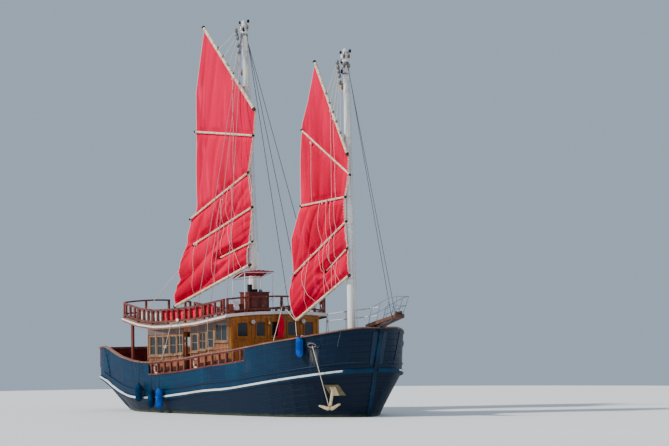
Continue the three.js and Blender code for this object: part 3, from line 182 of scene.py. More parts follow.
class Look:
    def __init__(self, name, roughness=0.5, metallic=0.0, **more):
        self.material = bpy.data.materials.new(name)
        self.material.use_nodes = True
        self.tree = self.material.node_tree
        self.tree.nodes.clear()
        self.shader = self.new("ShaderNodeBsdfPrincipled")
        output = self.new("ShaderNodeOutputMaterial")
        self.tree.links.new(self.shader.outputs[0], output.inputs[0])
        coordinates = self.new("ShaderNodeTexCoord")
        self.place = coordinates.outputs["Object"]
        self.facing = coordinates.outputs["Normal"]
        self.set("Roughness", roughness)
        self.set("Metallic", metallic)
        self.set("Specular IOR Level", DULL)
        for key, value in more.items():
            self.set(key.replace("_", " "), value)

    def new(self, kind):
        return self.tree.nodes.new(kind)

    def put(self, socket, value):
        if isinstance(value, Value):
            value = value.socket
        if isinstance(value, bpy.types.NodeSocket):
            self.tree.links.new(value, socket)
        elif isinstance(value, (tuple, list)) and socket.type == "RGBA":
            socket.default_value = (*value[:3], 1)
        else:
            socket.default_value = value

    def set(self, name, value):
        self.put(self.shader.inputs[name], value)

    def finish(self, colour, roughness=None):
        self.set("Base Color", colour)
        if roughness is not None:
            self.set("Roughness", roughness)
        return self.material

    def math(self, operation, a, b=0.0):
        node = self.new("ShaderNodeMath")
        node.operation = operation
        self.put(node.inputs[0], a)
        self.put(node.inputs[1], b)
        return Value(self, node.outputs[0])

    def mix(self, share, a, b):
        node = self.new("ShaderNodeMix")
        node.data_type = "RGBA"
        self.put(node.inputs["Factor"], share)
        for name, colour in (("A", a), ("B", b)):
            self.put(next(s for s in node.inputs if s.name == name and s.type == "RGBA"), colour)
        return next(s for s in node.outputs if s.type == "RGBA")

    def along(self, axis, source=None):
        node = self.new("ShaderNodeSeparateXYZ")
        self.put(node.inputs[0], source or self.place)
        return Value(self, node.outputs["XYZ".index(axis)])

    def noise(self, scale, detail=4.0, roughness=0.6, stretch=(1, 1, 1), turn=(0, 0, 0)):
        mapping = self.new("ShaderNodeMapping")
        self.put(mapping.inputs["Vector"], self.place)
        mapping.inputs["Scale"].default_value = stretch
        mapping.inputs["Rotation"].default_value = turn
        node = self.new("ShaderNodeTexNoise")
        self.put(node.inputs["Vector"], mapping.outputs[0])
        for key, value in (("Scale", scale), ("Detail", detail), ("Roughness", roughness)):
            node.inputs[key].default_value = value
        return Value(self, node.outputs[0])

    def step(self, value, low, high):
        """0 below low, 1 above high, smooth between."""
        node = self.new("ShaderNodeMapRange")
        node.interpolation_type = "SMOOTHSTEP"
        self.put(node.inputs["Value"], value)
        node.inputs["From Min"].default_value = low
        node.inputs["From Max"].default_value = high
        return Value(self, node.outputs[0])

    def spots(self, low, high, *of_noise):
        """Patches where a noise lies above low, full above high."""
        return self.step(self.noise(*of_noise), low, high)

    def curve(self, x, table, column):
        """A column of a table against x."""
        node = self.new("ShaderNodeFloatCurve")
        points = node.mapping.curves[0].points
        rows = [((row[0] + REACH) / (2 * REACH), row[column] / CEILING) for row in table]
        points[0].location = (0, rows[0][1])
        points[1].location = (1, rows[-1][1])
        for at, height in rows:
            points.new(at, height)
        node.mapping.update()
        self.put(node.inputs["Value"], (x + REACH) / (2 * REACH))
        return Value(self, node.outputs[0]) * CEILING

    def seams(self, value, pitch, width):
        """1 on thin lines that repeat each pitch along value, 0 between them."""
        part = self.math("FRACT", value / pitch)
        return self.step(abs(part - 0.5), 0.5 - width / pitch, 0.5)

    def bump(self, height, distance, strength=1.0, under=None):
        node = self.new("ShaderNodeBump")
        node.inputs["Strength"].default_value = strength
        node.inputs["Distance"].default_value = distance
        self.put(node.inputs["Height"], height)
        if under is not None:
            self.put(node.inputs["Normal"], under)
        self.set("Normal", node.outputs[0])
        return node.outputs[0]


def paint(name, colour, worn, roughness=0.5, patch=0.35, grain=(1, 1, 1), coat=0.0):
    """Old paint: a soft change of tone, chips that show what is under it, and a brushed surface."""
    look = Look(name, roughness, Coat_Weight=coat, Coat_Roughness=0.3)
    tone = look.noise(0.9, 4, 0.6)
    base = look.mix(look.step(tone, 0.3, 0.75), [c * 0.82 for c in colour], colour)
    chips = look.spots(0.66 - 0.12 * patch, 0.72, 5.5, 7, 0.72, grain)
    look.bump(look.noise(22, 5, 0.6, grain), 0.012, 0.35)
    return look.finish(look.mix(chips * patch, base, worn), tone * 0.2 + (roughness - 0.08))


def wood(name, dark, light, along="X", gloss=0.4, wear=None, boards=None):
    """Timber with its grain along one axis. boards: the axis across them, and their width."""
    look = Look(name, gloss, Coat_Weight=0.25, Coat_Roughness=0.25)
    stretch = [0.12 if a == along else 1.0 for a in "XYZ"]
    grain = look.noise(26, 6, 0.65, stretch)
    rings = look.noise(5.5, 3, 0.5, stretch)
    colour = look.mix(look.step(grain * 0.55 + rings * 0.5, 0.36, 0.72), dark, light)
    colour = look.mix(look.spots(0.35, 0.7, 1.3, 3, 0.6), look.mix(0.35, colour, dark), colour)
    height = grain
    if boards:
        lines = look.seams(look.along(boards[0]), boards[1], 0.008)
        colour = look.mix(lines * 0.75, colour, [c * 0.25 for c in dark])
        height = grain - lines * 2.5
    if wear:
        colour = look.mix(look.spots(0.56, 0.68, 7, 6, 0.7) * 0.55, colour, wear)
    look.bump(height, 0.006, 0.6)
    return look.finish(colour, grain * 0.25 + (gloss - 0.1))


NAVY, NAVY_LIGHT, NAVY_DARK = (0.0003, 0.018, 0.052), (0.0008, 0.032, 0.074), (0.0001, 0.0065, 0.020)
WHITE, IVORY, BLACK = (0.80, 0.79, 0.75), (0.88, 0.80, 0.66), (0.012, 0.012, 0.014)
RUST, SALT, WEED = (0.17, 0.055, 0.02), (0.32, 0.36, 0.38), (0.05, 0.06, 0.025)
CRIMSON, DEEP_CRIMSON, PINK = (0.76, 0.0, 0.050), (0.54, 0.0, 0.032), (0.98, 0.020, 0.125)
RUNS_AFT, STREAKS_DOWN = (0.1, 1, 1), (1, 1, 0.25)


def hull_look():
    """Blue planking with seams that follow the sheer, painted shade under the wale and towards the bow, salt
    streaks, weed at the waterline, dull red below it, teak on the deck and brown paint inside the bulwarks."""
    look = Look("planking_paint", 0.4)
    x, y, z = (look.along(a) for a in "XYZ")
    ny, nz = (look.along(a, look.facing) for a in "YZ")
    low = look.curve(x, LINES, 2)
    share = (z - low) / (look.curve(x, LINES, 1) - low)
    lines = look.seams(share, 1 / 7, 0.007).over(look.seams(x, 1.27, 0.012) * look.step(share, 0.0, 0.02))
    tone = look.noise(0.55, 4, 0.6, (1, 1, 1.6))
    streaks = look.noise(4.5, 5, 0.65, (1, 1, 0.12))
    colour = look.mix(look.step(tone, 0.32, 0.7), NAVY, NAVY_LIGHT)
    # painted shade: darker under the wale, which shades the planking, and towards the bow, which turns from
    # the sun
    shade_under_wale = look.step(low - z, 0.0, 0.25)
    colour = look.mix(shade_under_wale * 0.85, colour, NAVY_DARK)
    shade_to_bow = look.step(x, 3.0, 9.0)
    colour = look.mix(shade_to_bow * 0.80, colour, NAVY_DARK)
    # the salt streaks show less where that shade is painted
    out_of_painted_shade = 1.0 - shade_under_wale.over(shade_to_bow) * 0.8
    colour = look.mix(look.step(streaks, 0.55, 0.85) * 0.12 * out_of_painted_shade, colour, SALT)
    # salt and rust that run down from the hawse holes
    run = look.step(abs(x - HAWSE_X), 0.30, 0.08) * look.step(z, 1.9, 2.6) * look.step(z, 3.18, 3.05)
    run = run * look.spots(0.42, 0.62, 9, 4, 0.6, (1, 1, 0.1))
    colour = look.mix(run * 0.35, colour, (0.30, 0.27, 0.22))
    colour = look.mix(lines * 0.32, colour, NAVY_DARK)
    scum = z - look.noise(2.6, 5, 0.7) * 0.22
    colour = look.mix(look.step(scum, 0.04, -0.06) * 0.8, colour, WEED)
    red_lead = look.mix(look.spots(0.35, 0.65, 2.2, 6, 0.7), (0.055, 0.014, 0.010), (0.16, 0.035, 0.024))
    fouled = look.mix(look.spots(0.5, 0.7, 1.1, 5, 0.7), red_lead, WEED)
    colour = look.mix(look.step(z, 0.010, -0.010), colour, fouled)
    inside = look.step(y * ny * look.step(z, 1.2, 1.4), -0.2, -0.6)
    inner = look.mix(look.noise(8, 5, 0.6, (0.15, 1, 1)), (0.05, 0.012, 0.008), (0.17, 0.05, 0.03))
    colour = look.mix(inside, colour, inner)
    deck = look.step(nz, 0.80, 0.92) * look.step(z, 0.9, 1.1)
    seam = look.seams(y, 0.11, 0.010)
    teak = look.mix(look.spots(0.32, 0.7, 14, 6, 0.65, RUNS_AFT), (0.17, 0.105, 0.058), (0.36, 0.26, 0.165))
    teak = look.mix(look.spots(0.4, 0.75, 0.8, 4, 0.6), teak, (0.30, 0.26, 0.21))
    teak = look.mix(seam, teak, BLACK)
    under = look.bump(streaks * 0.4 - lines.over(deck * seam), 0.016, 0.7)
    look.bump(look.noise(1.6, 3, 0.5, (1, 1, 2.5)), 0.03, 0.35, under)
    return look.finish(look.mix(deck, colour, teak), deck.over(tone) * 0.32 + 0.30)


def keel_look():
    """Blue on the stem above the water, dull and fouled below it."""
    look = Look("keel_paint", 0.5)
    tone = look.noise(1.2, 5, 0.65)
    blue = look.mix(look.step(tone, 0.3, 0.7), NAVY_DARK, NAVY_LIGHT)
    blue = look.mix(look.spots(0.62, 0.70, 7, 7, 0.75) * 0.3, blue, SALT)
    below = look.step(look.along("Z"), 0.010, -0.010)
    look.bump(look.noise(20, 5, 0.6), 0.01, 0.4)
    return look.finish(look.mix(below, blue, look.mix(tone, WEED, (0.12, 0.03, 0.02))))


def wale_look():
    """White strake that turns blue at the bow, chipped most at the stern, and chafed by the fenders."""
    look = Look("wale_paint", 0.5)
    x, z = look.along("X"), look.along("Z")
    tone = look.noise(1.4, 5, 0.65, (0.5, 1, 1))
    white = look.mix(look.step(tone, 0.3, 0.7), (0.62, 0.60, 0.55), WHITE)
    chips = look.spots(0.60, 0.67, 6, 7, 0.75, (0.4, 1, 1)) * (look.step(x, -3.6, -6.2) * 0.6 + 0.25)
    white = look.mix(chips, white, (0.42, 0.31, 0.16))
    chafe = look.step(abs(x + 3.4), 1.4, 0.9) * look.spots(0.45, 0.58, 3.5, 6, 0.7)
    white = look.mix(chafe * 0.8, white, (0.10, 0.11, 0.12))
    blue = look.mix(look.step(tone, 0.3, 0.7), NAVY, NAVY_LIGHT)
    edge = z - look.curve(x, LINES, 2) + look.noise(9, 4, 0.6, (0.4, 1, 1)) * 0.02
    white = look.mix(look.step(edge, 0.000, -0.010), white, blue)
    white = look.mix(look.step(edge, 0.072, 0.082), white, blue)
    look.bump(look.noise(18, 5, 0.6, (0.2, 1, 1)), 0.01, 0.5)
    return look.finish(look.mix(look.step(x, 9.30, 9.34), white, blue), tone * 0.3 + 0.4)


def sail_look():
    """Crimson cloth: a patchy tone, painted highlights in pale streaks that run like the fold ridges, paler
    towards its top, seamed strips, a fine weave and stains.
    """
    look = Look("sail_cloth_crimson", 0.9, Specular_IOR_Level=0.0)
    colour = look.mix(look.spots(0.34, 0.66, 0.9, 3, 0.5, STREAKS_DOWN), DEEP_CRIMSON, CRIMSON)
    # painted highlight: pale pink streaks that run like the folds, standing for sun on the fold ridges
    colour = look.mix(look.spots(0.52, 0.70, 3.2, 6, 0.62, (1, 1, 0.10)) * 0.65, colour, PINK)
    # paler towards the top of the sail
    colour = look.mix(look.step(look.along("Z"), 9.0, 17.5) * 0.22, colour, PINK)
    strips = look.seams(look.along("X"), 0.92, 0.016)
    colour = look.mix(strips * 0.20, colour, (0.42, 0.004, 0.02))
    colour = look.mix(look.spots(0.64, 0.76, 2.1, 7, 0.75) * 0.22, colour, (0.36, 0.01, 0.03))
    under = look.bump(look.noise(90, 2, 0.5) + strips * 1.5, 0.004, 0.5)
    look.bump(look.noise(7, 5, 0.6, STREAKS_DOWN), 0.02, 0.45, under)
    return look.finish(colour)


def cloth_look(name, colour, pale):
    look = Look(name, 0.9, Specular_IOR_Level=0.0)
    look.bump(look.noise(80, 2, 0.5), 0.004, 0.4)
    return look.finish(look.mix(look.spots(0.4, 0.72, 3.5, 5, 0.6), colour, pale))


def metal_look(name, colour, roughness, pits=0.3, worn=RUST, metallic=1.0):
    look = Look(name, roughness, metallic)
    spots = look.spots(0.62 - pits * 0.25, 0.72, 9, 7, 0.75)
    look.bump(look.noise(30, 5, 0.6), 0.006, 0.4)
    return look.finish(look.mix(spots * min(1.0, pits * 1.6), colour, worn), spots * 0.35 + roughness)


def rope_look(name, colour, dark):
    look = Look(name, 0.85)
    strands = look.noise(40, 3, 0.6, (1, 1, 0.4), (0.6, 0.5, 0))
    look.bump(strands, 0.01, 0.8)
    return look.finish(look.mix(strands, dark, colour))


def glass_look(name, colour):
    look = Look(name, 0.08, Specular_IOR_Level=0.7)
    haze = look.noise(2.4, 4, 0.6)
    return look.finish(look.mix(haze, colour, [c * 2.2 + 0.006 for c in colour]), haze * 0.18 + 0.05)


def spar_look(name):
    """Bamboo: pale, ringed each span, browner at the rings."""
    look = Look(name, 0.5)
    rings = look.seams(look.along("X"), 0.34, 0.018)
    grain = look.noise(18, 5, 0.6, (0.15, 1, 1))
    colour = look.mix(look.step(grain, 0.35, 0.7), (0.66, 0.52, 0.34), IVORY)
    colour = look.mix(look.spots(0.5, 0.7, 1.7, 4, 0.6) * 0.5, colour, (0.50, 0.36, 0.20))
    look.bump(grain + rings * 2.0, 0.008, 0.6)
    return look.finish(look.mix(rings * 0.7, colour, (0.30, 0.19, 0.10)))


def mast_look(name, foot_from, foot_to):
    """Chalky white paint mottled with painted blue-grey shade, with rust runs, whiter at the foot."""
    look = Look(name, 0.42, Coat_Weight=0.1)
    runs = look.noise(6, 6, 0.7, (1, 1, 0.08))
    # painted shade: blue-grey patches mottle the white paint
    colour = look.mix(look.spots(0.35, 0.7, 0.7, 3, 0.5), (0.56, 0.60, 0.64), (0.74, 0.75, 0.75))
    colour = look.mix(look.step(runs, 0.60, 0.78) * 0.45, colour, (0.30, 0.24, 0.18))
    above = look.step(look.along("Z"), foot_from, foot_to) * 0.5
    look.bump(runs, 0.008, 0.4)
    return look.finish(look.mix(above, (0.84, 0.83, 0.80), colour))


def roof_look():
    """The upper deck: white painted edge and underside, with laid planks on top."""
    look = Look("upper_deck_paint", 0.5)
    grime = look.spots(0.45, 0.75, 3.0, 6, 0.7, STREAKS_DOWN)
    seam = look.seams(look.along("Y"), 0.12, 0.010)
    plank = look.noise(13, 6, 0.65, RUNS_AFT)
    teak = look.mix(look.step(plank, 0.3, 0.7), (0.20, 0.125, 0.07), (0.40, 0.29, 0.18))
    teak = look.mix(seam, teak, (0.03, 0.025, 0.02))
    top = look.step(look.along("Z", look.facing), 0.7, 0.85)
    look.bump(plank - seam * top * 2, 0.008, 0.6)
    return look.finish(look.mix(top, look.mix(grime, WHITE, (0.60, 0.56, 0.50)), teak), top * 0.25 + 0.42)


def ring_look(centres):
    """Life rings: orange with four white bands, which follow the angle about each centre."""
    look = Look("life_ring_cover", 0.55)
    x, z = look.along("X"), look.along("Z")
    orange_parts = None
    for cx, cz in centres:
        turn = look.math("ARCTAN2", z - cz, x - cx) / (math.pi / 2)
        band = look.step(abs(look.math("FRACT", turn) - 0.5), 0.20, 0.17)
        part = band * look.step(abs(x - cx), 0.7, 0.6)
        orange_parts = part if orange_parts is None else orange_parts.over(part)
    dirt = look.spots(0.4, 0.7, 9, 5, 0.7)
    orange = look.mix(dirt, (0.72, 0.13, 0.03), (0.50, 0.10, 0.035))
    white = look.mix(dirt, (0.80, 0.76, 0.68), (0.58, 0.52, 0.42))
    look.bump(look.noise(60, 2, 0.5), 0.004, 0.4)
    return look.finish(look.mix(orange_parts, white, orange))


def anchor_look():
    """Cream paint over rust on the anchor, and a darker rubbing plate behind its shank."""
    look = Look("anchor_paint", 0.7)
    x, z = look.along("X"), look.along("Z")
    shank_x = (z - 1.30) * 0.125 + 8.80
    beside = look.step(abs(x - shank_x), 0.080, 0.095)
    plate = beside.over(look.step(z, 1.32, 1.36)) * look.step(z, 0.90, 0.94)
    spots = look.spots(0.50, 0.66, 7, 7, 0.75)
    cream = look.mix(spots * 0.7, (0.62, 0.50, 0.31), (0.24, 0.12, 0.055))
    olive = look.mix(spots, (0.13, 0.105, 0.055), (0.26, 0.20, 0.11))
    look.bump(look.noise(24, 5, 0.65), 0.010, 0.6)
    return look.finish(look.mix(plate, cream, olive))


# What each kind of look is given, in the order of its arguments
LOOK_ROWS = {
    wood: {
        "cap": ("cap_rail_wood", (0.15, 0.062, 0.040), (0.33, 0.160, 0.108), "X", 0.6, (0.44, 0.31, 0.24)),
        "varnish_front": ("front_wall_varnish", (0.25, 0.080, 0.012), (0.64, 0.255, 0.046), "Z", 0.34, None,
                          ("Y", 0.16)),
        "varnish_side": ("side_wall_varnish", (0.20, 0.054, 0.024), (0.47, 0.165, 0.066), "Z", 0.42, None,
                         ("X", 0.14)),
        "varnish": ("door_varnish", (0.16, 0.045, 0.012), (0.38, 0.130, 0.035), "Z", 0.38),
        "frame": ("window_frame_wood", (0.17, 0.085, 0.045), (0.38, 0.235, 0.13), "Z", 0.5,
                  (0.50, 0.40, 0.30)),
        "frame_gold": ("front_frame_varnish", (0.26, 0.085, 0.010), (0.60, 0.24, 0.036), "Z", 0.34),
        "mahogany": ("mahogany_paint", (0.090, 0.019, 0.014), (0.25, 0.066, 0.048), "X", 0.42,
                     (0.44, 0.22, 0.17)),
        "mahogany_post": ("mahogany_post_paint", (0.090, 0.018, 0.012), (0.24, 0.058, 0.040), "Z", 0.45,
                          (0.36, 0.16, 0.11)),
        "cabinet": ("cabinet_varnish", (0.070, 0.014, 0.010), (0.165, 0.036, 0.022), "Z", 0.34, None,
                    ("Y", 0.20)),
        "sprit": ("bowsprit_wood", (0.060, 0.026, 0.018), (0.18, 0.080, 0.052), "X", 0.65, (0.38, 0.26, 0.19),
                  ("Y", 0.14)),
        "block_wood": ("block_wood", (0.12, 0.055, 0.025), (0.32, 0.17, 0.08), "Z", 0.5),
    },
    paint: {
        "white": ("white_paint", WHITE, (0.45, 0.36, 0.26), 0.5, 0.3),
        # partly painted shade: the fascia's dark grey-brown is its paint and the shade under the upper deck's
        # overhang
        "fascia": ("fascia_paint", (0.155, 0.110, 0.100), (0.30, 0.22, 0.19), 0.6, 0.5, (0.3, 1, 1)),
        "navy": ("navy_paint", NAVY, SALT, 0.42, 0.25, (0.3, 1, 1), 0.2),
        "pipe": ("white_pipe_paint", (0.76, 0.77, 0.76), RUST, 0.4, 0.35),
        "rudder": ("rudder_paint", (0.10, 0.026, 0.018), WEED, 0.65, 0.8),
        "black": ("black_rubber", BLACK, (0.05, 0.05, 0.05), 0.55, 0.3),
        "lamp": ("lamp_paint", (0.62, 0.61, 0.58), (0.36, 0.33, 0.28), 0.4, 0.4),
    },
    metal_look: {
        # painted light: a paler, pinker copy of the rigging wire, for the sunlit starboard shrouds
        "wire_pale": ("weathered_wire", (0.34, 0.25, 0.27), 0.6, 0.3, RUST, 0.1),
        "wire": ("rigging_wire", (0.12, 0.13, 0.15), 0.45, 0.2, RUST, 0.7),
        "steel": ("stainless_pipe", (0.22, 0.27, 0.33), 0.35, 0.2, (0.20, 0.17, 0.14), 0.35),
        "iron": ("rusty_iron", (0.26, 0.17, 0.10), 0.75, 0.8, (0.13, 0.04, 0.016), 0.25),
        "galvanised": ("galvanised_gear", (0.20, 0.20, 0.20), 0.6, 0.6, (0.12, 0.06, 0.03), 0.6),
        "bronze": ("propeller_bronze", (0.40, 0.23, 0.08), 0.38, 0.5, (0.10, 0.14, 0.09)),
        "brass": ("bell_brass", (0.72, 0.47, 0.16), 0.25, 0.15, (0.30, 0.18, 0.06)),
    },
    cloth_look: {
        "bench_cloth": ("dark_red_canvas", (0.085, 0.010, 0.010), (0.16, 0.030, 0.026)),
        "fender": ("fender_cover", (0.003, 0.050, 0.28), (0.010, 0.10, 0.42)),
        "fender_dark": ("old_fender_cover", (0.002, 0.020, 0.055), (0.006, 0.045, 0.11)),
        "canopy": ("canopy_cloth", (0.36, 0.012, 0.034), (0.66, 0.10, 0.15)),
        "red_cloth": ("red_canvas", (0.80, 0.004, 0.040), (0.95, 0.040, 0.09)),
        "white_cloth": ("white_canvas", (0.66, 0.65, 0.62), (0.82, 0.81, 0.79)),
    },
    rope_look: {
        "bolt_rope": ("bolt_rope", (0.92, 0.62, 0.60), (0.72, 0.26, 0.28)),
        "rope": ("pale_rope", (0.80, 0.72, 0.58), (0.50, 0.42, 0.31)),
        "dark_rope": ("tarred_rope", (0.030, 0.040, 0.065), (0.010, 0.013, 0.022)),
    },
    glass_look: {
        "glass": ("window_glass", (0.005, 0.006, 0.007)),
        "glass_grey": ("side_window_glass", (0.010, 0.014, 0.016)),
    },
    mast_look: {
        "mast_main": ("mast_main_paint", 6.5, 8.5),
        "mast_fore": ("mast_fore_paint", 5.0, 7.0),
    },
    spar_look: {"spar": ("bamboo_spar",)},
    hull_look: {"hull": ()},
    wale_look: {"wale": ()},
    sail_look: {"sail": ()},
    roof_look: {"roof": ()},
    keel_look: {"keel": ()},
    anchor_look: {"anchor": ()},
}
LOOK = {key: kind(*row) for kind, rows in LOOK_ROWS.items() for key, row in rows.items()}

NODE_LOOKS = {
    "hull": ["hull", "bulwark_bow", "bulwark_starboard", "bulwark_port"],
    "keel": ["keel"],
    "wale": ["wale_starboard", "wale_port"],
    "cap": ["cap_rail_starboard", "cap_rail_port"],
    "roof": ["upper_deck"],
    "varnish_front": ["house_front", "house_aft"],
    "varnish_side": ["house_starboard", "house_port"],
    "varnish": ["door_starboard", "door_port", "ladder", "helm_wheel"],
    "mahogany": ["balustrade_starboard", "balustrade_port", "rail_starboard", "rail_port", "rail_front",
                 "rail_aft", "transom_frame"],
    "mahogany_post": ["post_starboard", "post_port"],
    "cabinet": ["console", "locker"],
    "sprit": ["bowsprit"],
    "wire": ["shrouds_port", "forestays"],
    # the starboard shrouds take the wire copy with painted light, the port ones the dark wire
    "wire_pale": ["shrouds_starboard"],
    "white": ["canopy_frame"],
    "steel": ["pulpit"],
    "pipe": ["side_rail"],
    "anchor": ["anchor"],
    "rudder": ["rudder"],
    "bronze": ["propeller"],
    "spar": ["main_yard", "main_boom", "main_battens", "fore_yard", "fore_boom", "fore_battens"],
    "mast_main": ["mast_main"],
    "mast_fore": ["mast_fore"],
}
for key, names in NODE_LOOKS.items():
    for name in names:
        NODES[name].data.materials.clear()
        NODES[name].data.materials.append(LOOK[key])


def turns(count):
    return [2 * math.pi * k / count for k in range(count)]


def ellipse(centre, across, up, count):
    """Points round an ellipse, from its centre and its two half axes."""
    centre, across, up = Vector(centre), Vector(across), Vector(up)
    return [centre + across * math.cos(a) + up * math.sin(a) for a in turns(count)]


# Blocks and pulleys, as profiles of (distance down, radius)
BLOCKS = {
    "face": [(0, 0.02), (0.03, 0.045), (0.12, 0.045), (0.16, 0.02)],
    "halyard": [(0, 0.02), (0.02, 0.06), (0.17, 0.075), (0.22, 0.02)],
    "yard": [(0, 0.015), (0.02, 0.045), (0.12, 0.055), (0.16, 0.02)],
    "mast": [(0, 0.015), (0.02, 0.045), (0.15, 0.055), (0.20, 0.015)],
    "loose": [(0, 0.02), (0.02, 0.055), (0.20, 0.07), (0.27, 0.02)],
}


# Meshes: simple shapes gathered into one piece, each with a number that says which material it has
class Build:
    def __init__(self):
        self.points, self.faces, self.marks, self.rounded = [], [], [], []

    def add(self, points, faces, mark=0, rounded=False):
        first = len(self.points)
        self.points += [tuple(p) for p in points]
        self.faces += [tuple(first + k for k in f) for f in faces]
        self.marks += [mark] * len(faces)
        self.rounded += [rounded] * len(faces)
        return self

    def loft(self, rings, mark=0, rounded=False, closed=False):
        """A skin through rings of as many points each, with its ends capped or joined."""
        count = len(rings[0])
        faces = []
        last = len(rings) if closed else len(rings) - 1
        for r in range(last):
            a, b = r * count, (r + 1) % len(rings) * count
            for k in range(count):
                n = (k + 1) % count
                faces.append((a + k, a + n, b + n, b + k))
        if not closed:
            faces.append(tuple(range(count))[::-1])
            faces.append(tuple((len(rings) - 1) * count + k for k in range(count)))
        return self.add([p for ring in rings for p in ring], faces, mark, rounded)

    def box(self, low, high, mark=0):
        (x0, y0, z0), (x1, y1, z1) = [[f(p) for p in zip(low, high)] for f in (min, max)]
        return self.loft([[(x0, y0, z), (x1, y0, z), (x1, y1, z), (x0, y1, z)] for z in (z0, z1)], mark)

    def tube(self, path, radius, sides=8, mark=0, closed=False):
        path = [Vector(p) for p in path]
        count = len(path)
        rings = []
        across = None
        for k, p in enumerate(path):
            a = path[(k - 1) % count] if closed or k else p
            b = path[(k + 1) % count] if closed or k < count - 1 else p
            along = (b - a).normalized()
            if across is None:
                across = along.orthogonal().normalized()
            across = (across - along * across.dot(along)).normalized()
            rings.append(ellipse(p, across * radius, along.cross(across) * radius, sides))
        return self.loft(rings, mark, True, closed)

    def lathe(self, centre, axis, profile, sides=20, mark=0):
        """A profile of (distance along the axis, radius) turned about it."""
        axis = Vector(axis).normalized()
        across = axis.orthogonal().normalized()
        up = axis.cross(across)
        rings = []
        for height, radius in profile:
            radius = max(radius, 0.0005)
            rings.append(ellipse(Vector(centre) + axis * height, across * radius, up * radius, sides))
        return self.loft(rings, mark, True)

    def block(self, top, kind, sides, mark):
        return self.lathe(top, DOWNWARD, BLOCKS[kind], sides, mark)

    def sweep(self, path, section, mark=0):
        """A section of (side, up) points carried along a path."""
        path = [Vector(p) for p in path]
        rings = []
        for k, p in enumerate(path):
            along = (path[min(k + 1, len(path) - 1)] - path[max(k - 1, 0)]).normalized()
            side = along.cross(Vector(UPWARD)).normalized()
            high = side.cross(along)
            rings.append([p + side * s + high * h for s, h in section])
        return self.loft(rings, mark)

    def sheet(self, front, back, width):
        """Cloth between two layers of points, each in rows of as many as width says."""
        size, height = len(front), len(front) // width
        faces = []
        for r in range(height - 1):
            for s in range(width - 1):
                a = r * width + s
                quad = (a, a + 1, a + width + 1, a + width)
                faces += [quad, tuple(size + k for k in quad[::-1])]
        rim = list(range(width)) + [r * width + width - 1 for r in range(1, height)]
        rim += [(height - 1) * width + s for s in range(width - 2, -1, -1)]
        rim += [r * width for r in range(height - 2, 0, -1)]
        for a, b in zip(rim, rim[1:] + rim[:1]):
            faces.append((b, a, size + a, size + b))
        return self.add([*front, *back], faces, 0, True)

    def make(self, name, body, *looks):
        mesh = bpy.data.meshes.new(name)
        mesh.from_pydata(self.points, [], self.faces)
        for look in looks:
            mesh.materials.append(LOOK[look] if isinstance(look, str) else look)
        mesh.polygons.foreach_set("material_index", self.marks)
        mesh.polygons.foreach_set("use_smooth", self.rounded)
        mesh.update()
        shell = bmesh.new()
        shell.from_mesh(mesh)
        bmesh.ops.recalc_face_normals(shell, faces=shell.faces)
        shell.to_mesh(mesh)
        shell.free()
        piece = bpy.data.objects.new(name, mesh)
        bpy.context.scene.collection.objects.link(piece)
        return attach(piece, body) if body else piece


def arc(points, count):
    """Points evenly along a polyline."""
    points = [Vector(p) for p in points]
    lengths = [0.0]
    for a, b in zip(points, points[1:]):
        lengths.append(lengths[-1] + (b - a).length)
    out = []
    for k in range(count):
        at = lengths[-1] * k / (count - 1)
        n = min(max(i for i, s in enumerate(lengths) if s <= at + 1e-9), len(points) - 2)
        out.append(points[n].lerp(points[n + 1], (at - lengths[n]) / max(lengths[n + 1] - lengths[n], 1e-9)))
    return out


def sagging(a, b, sag, count=14):
    """A rope between two points, with its middle lower by sag."""
    out = []
    for k in range(count):
        t = k / (count - 1)
        p = Vector(a).lerp(Vector(b), t)
        p.z -= sag * 4 * t * (1 - t)
        out.append(p)
    return out


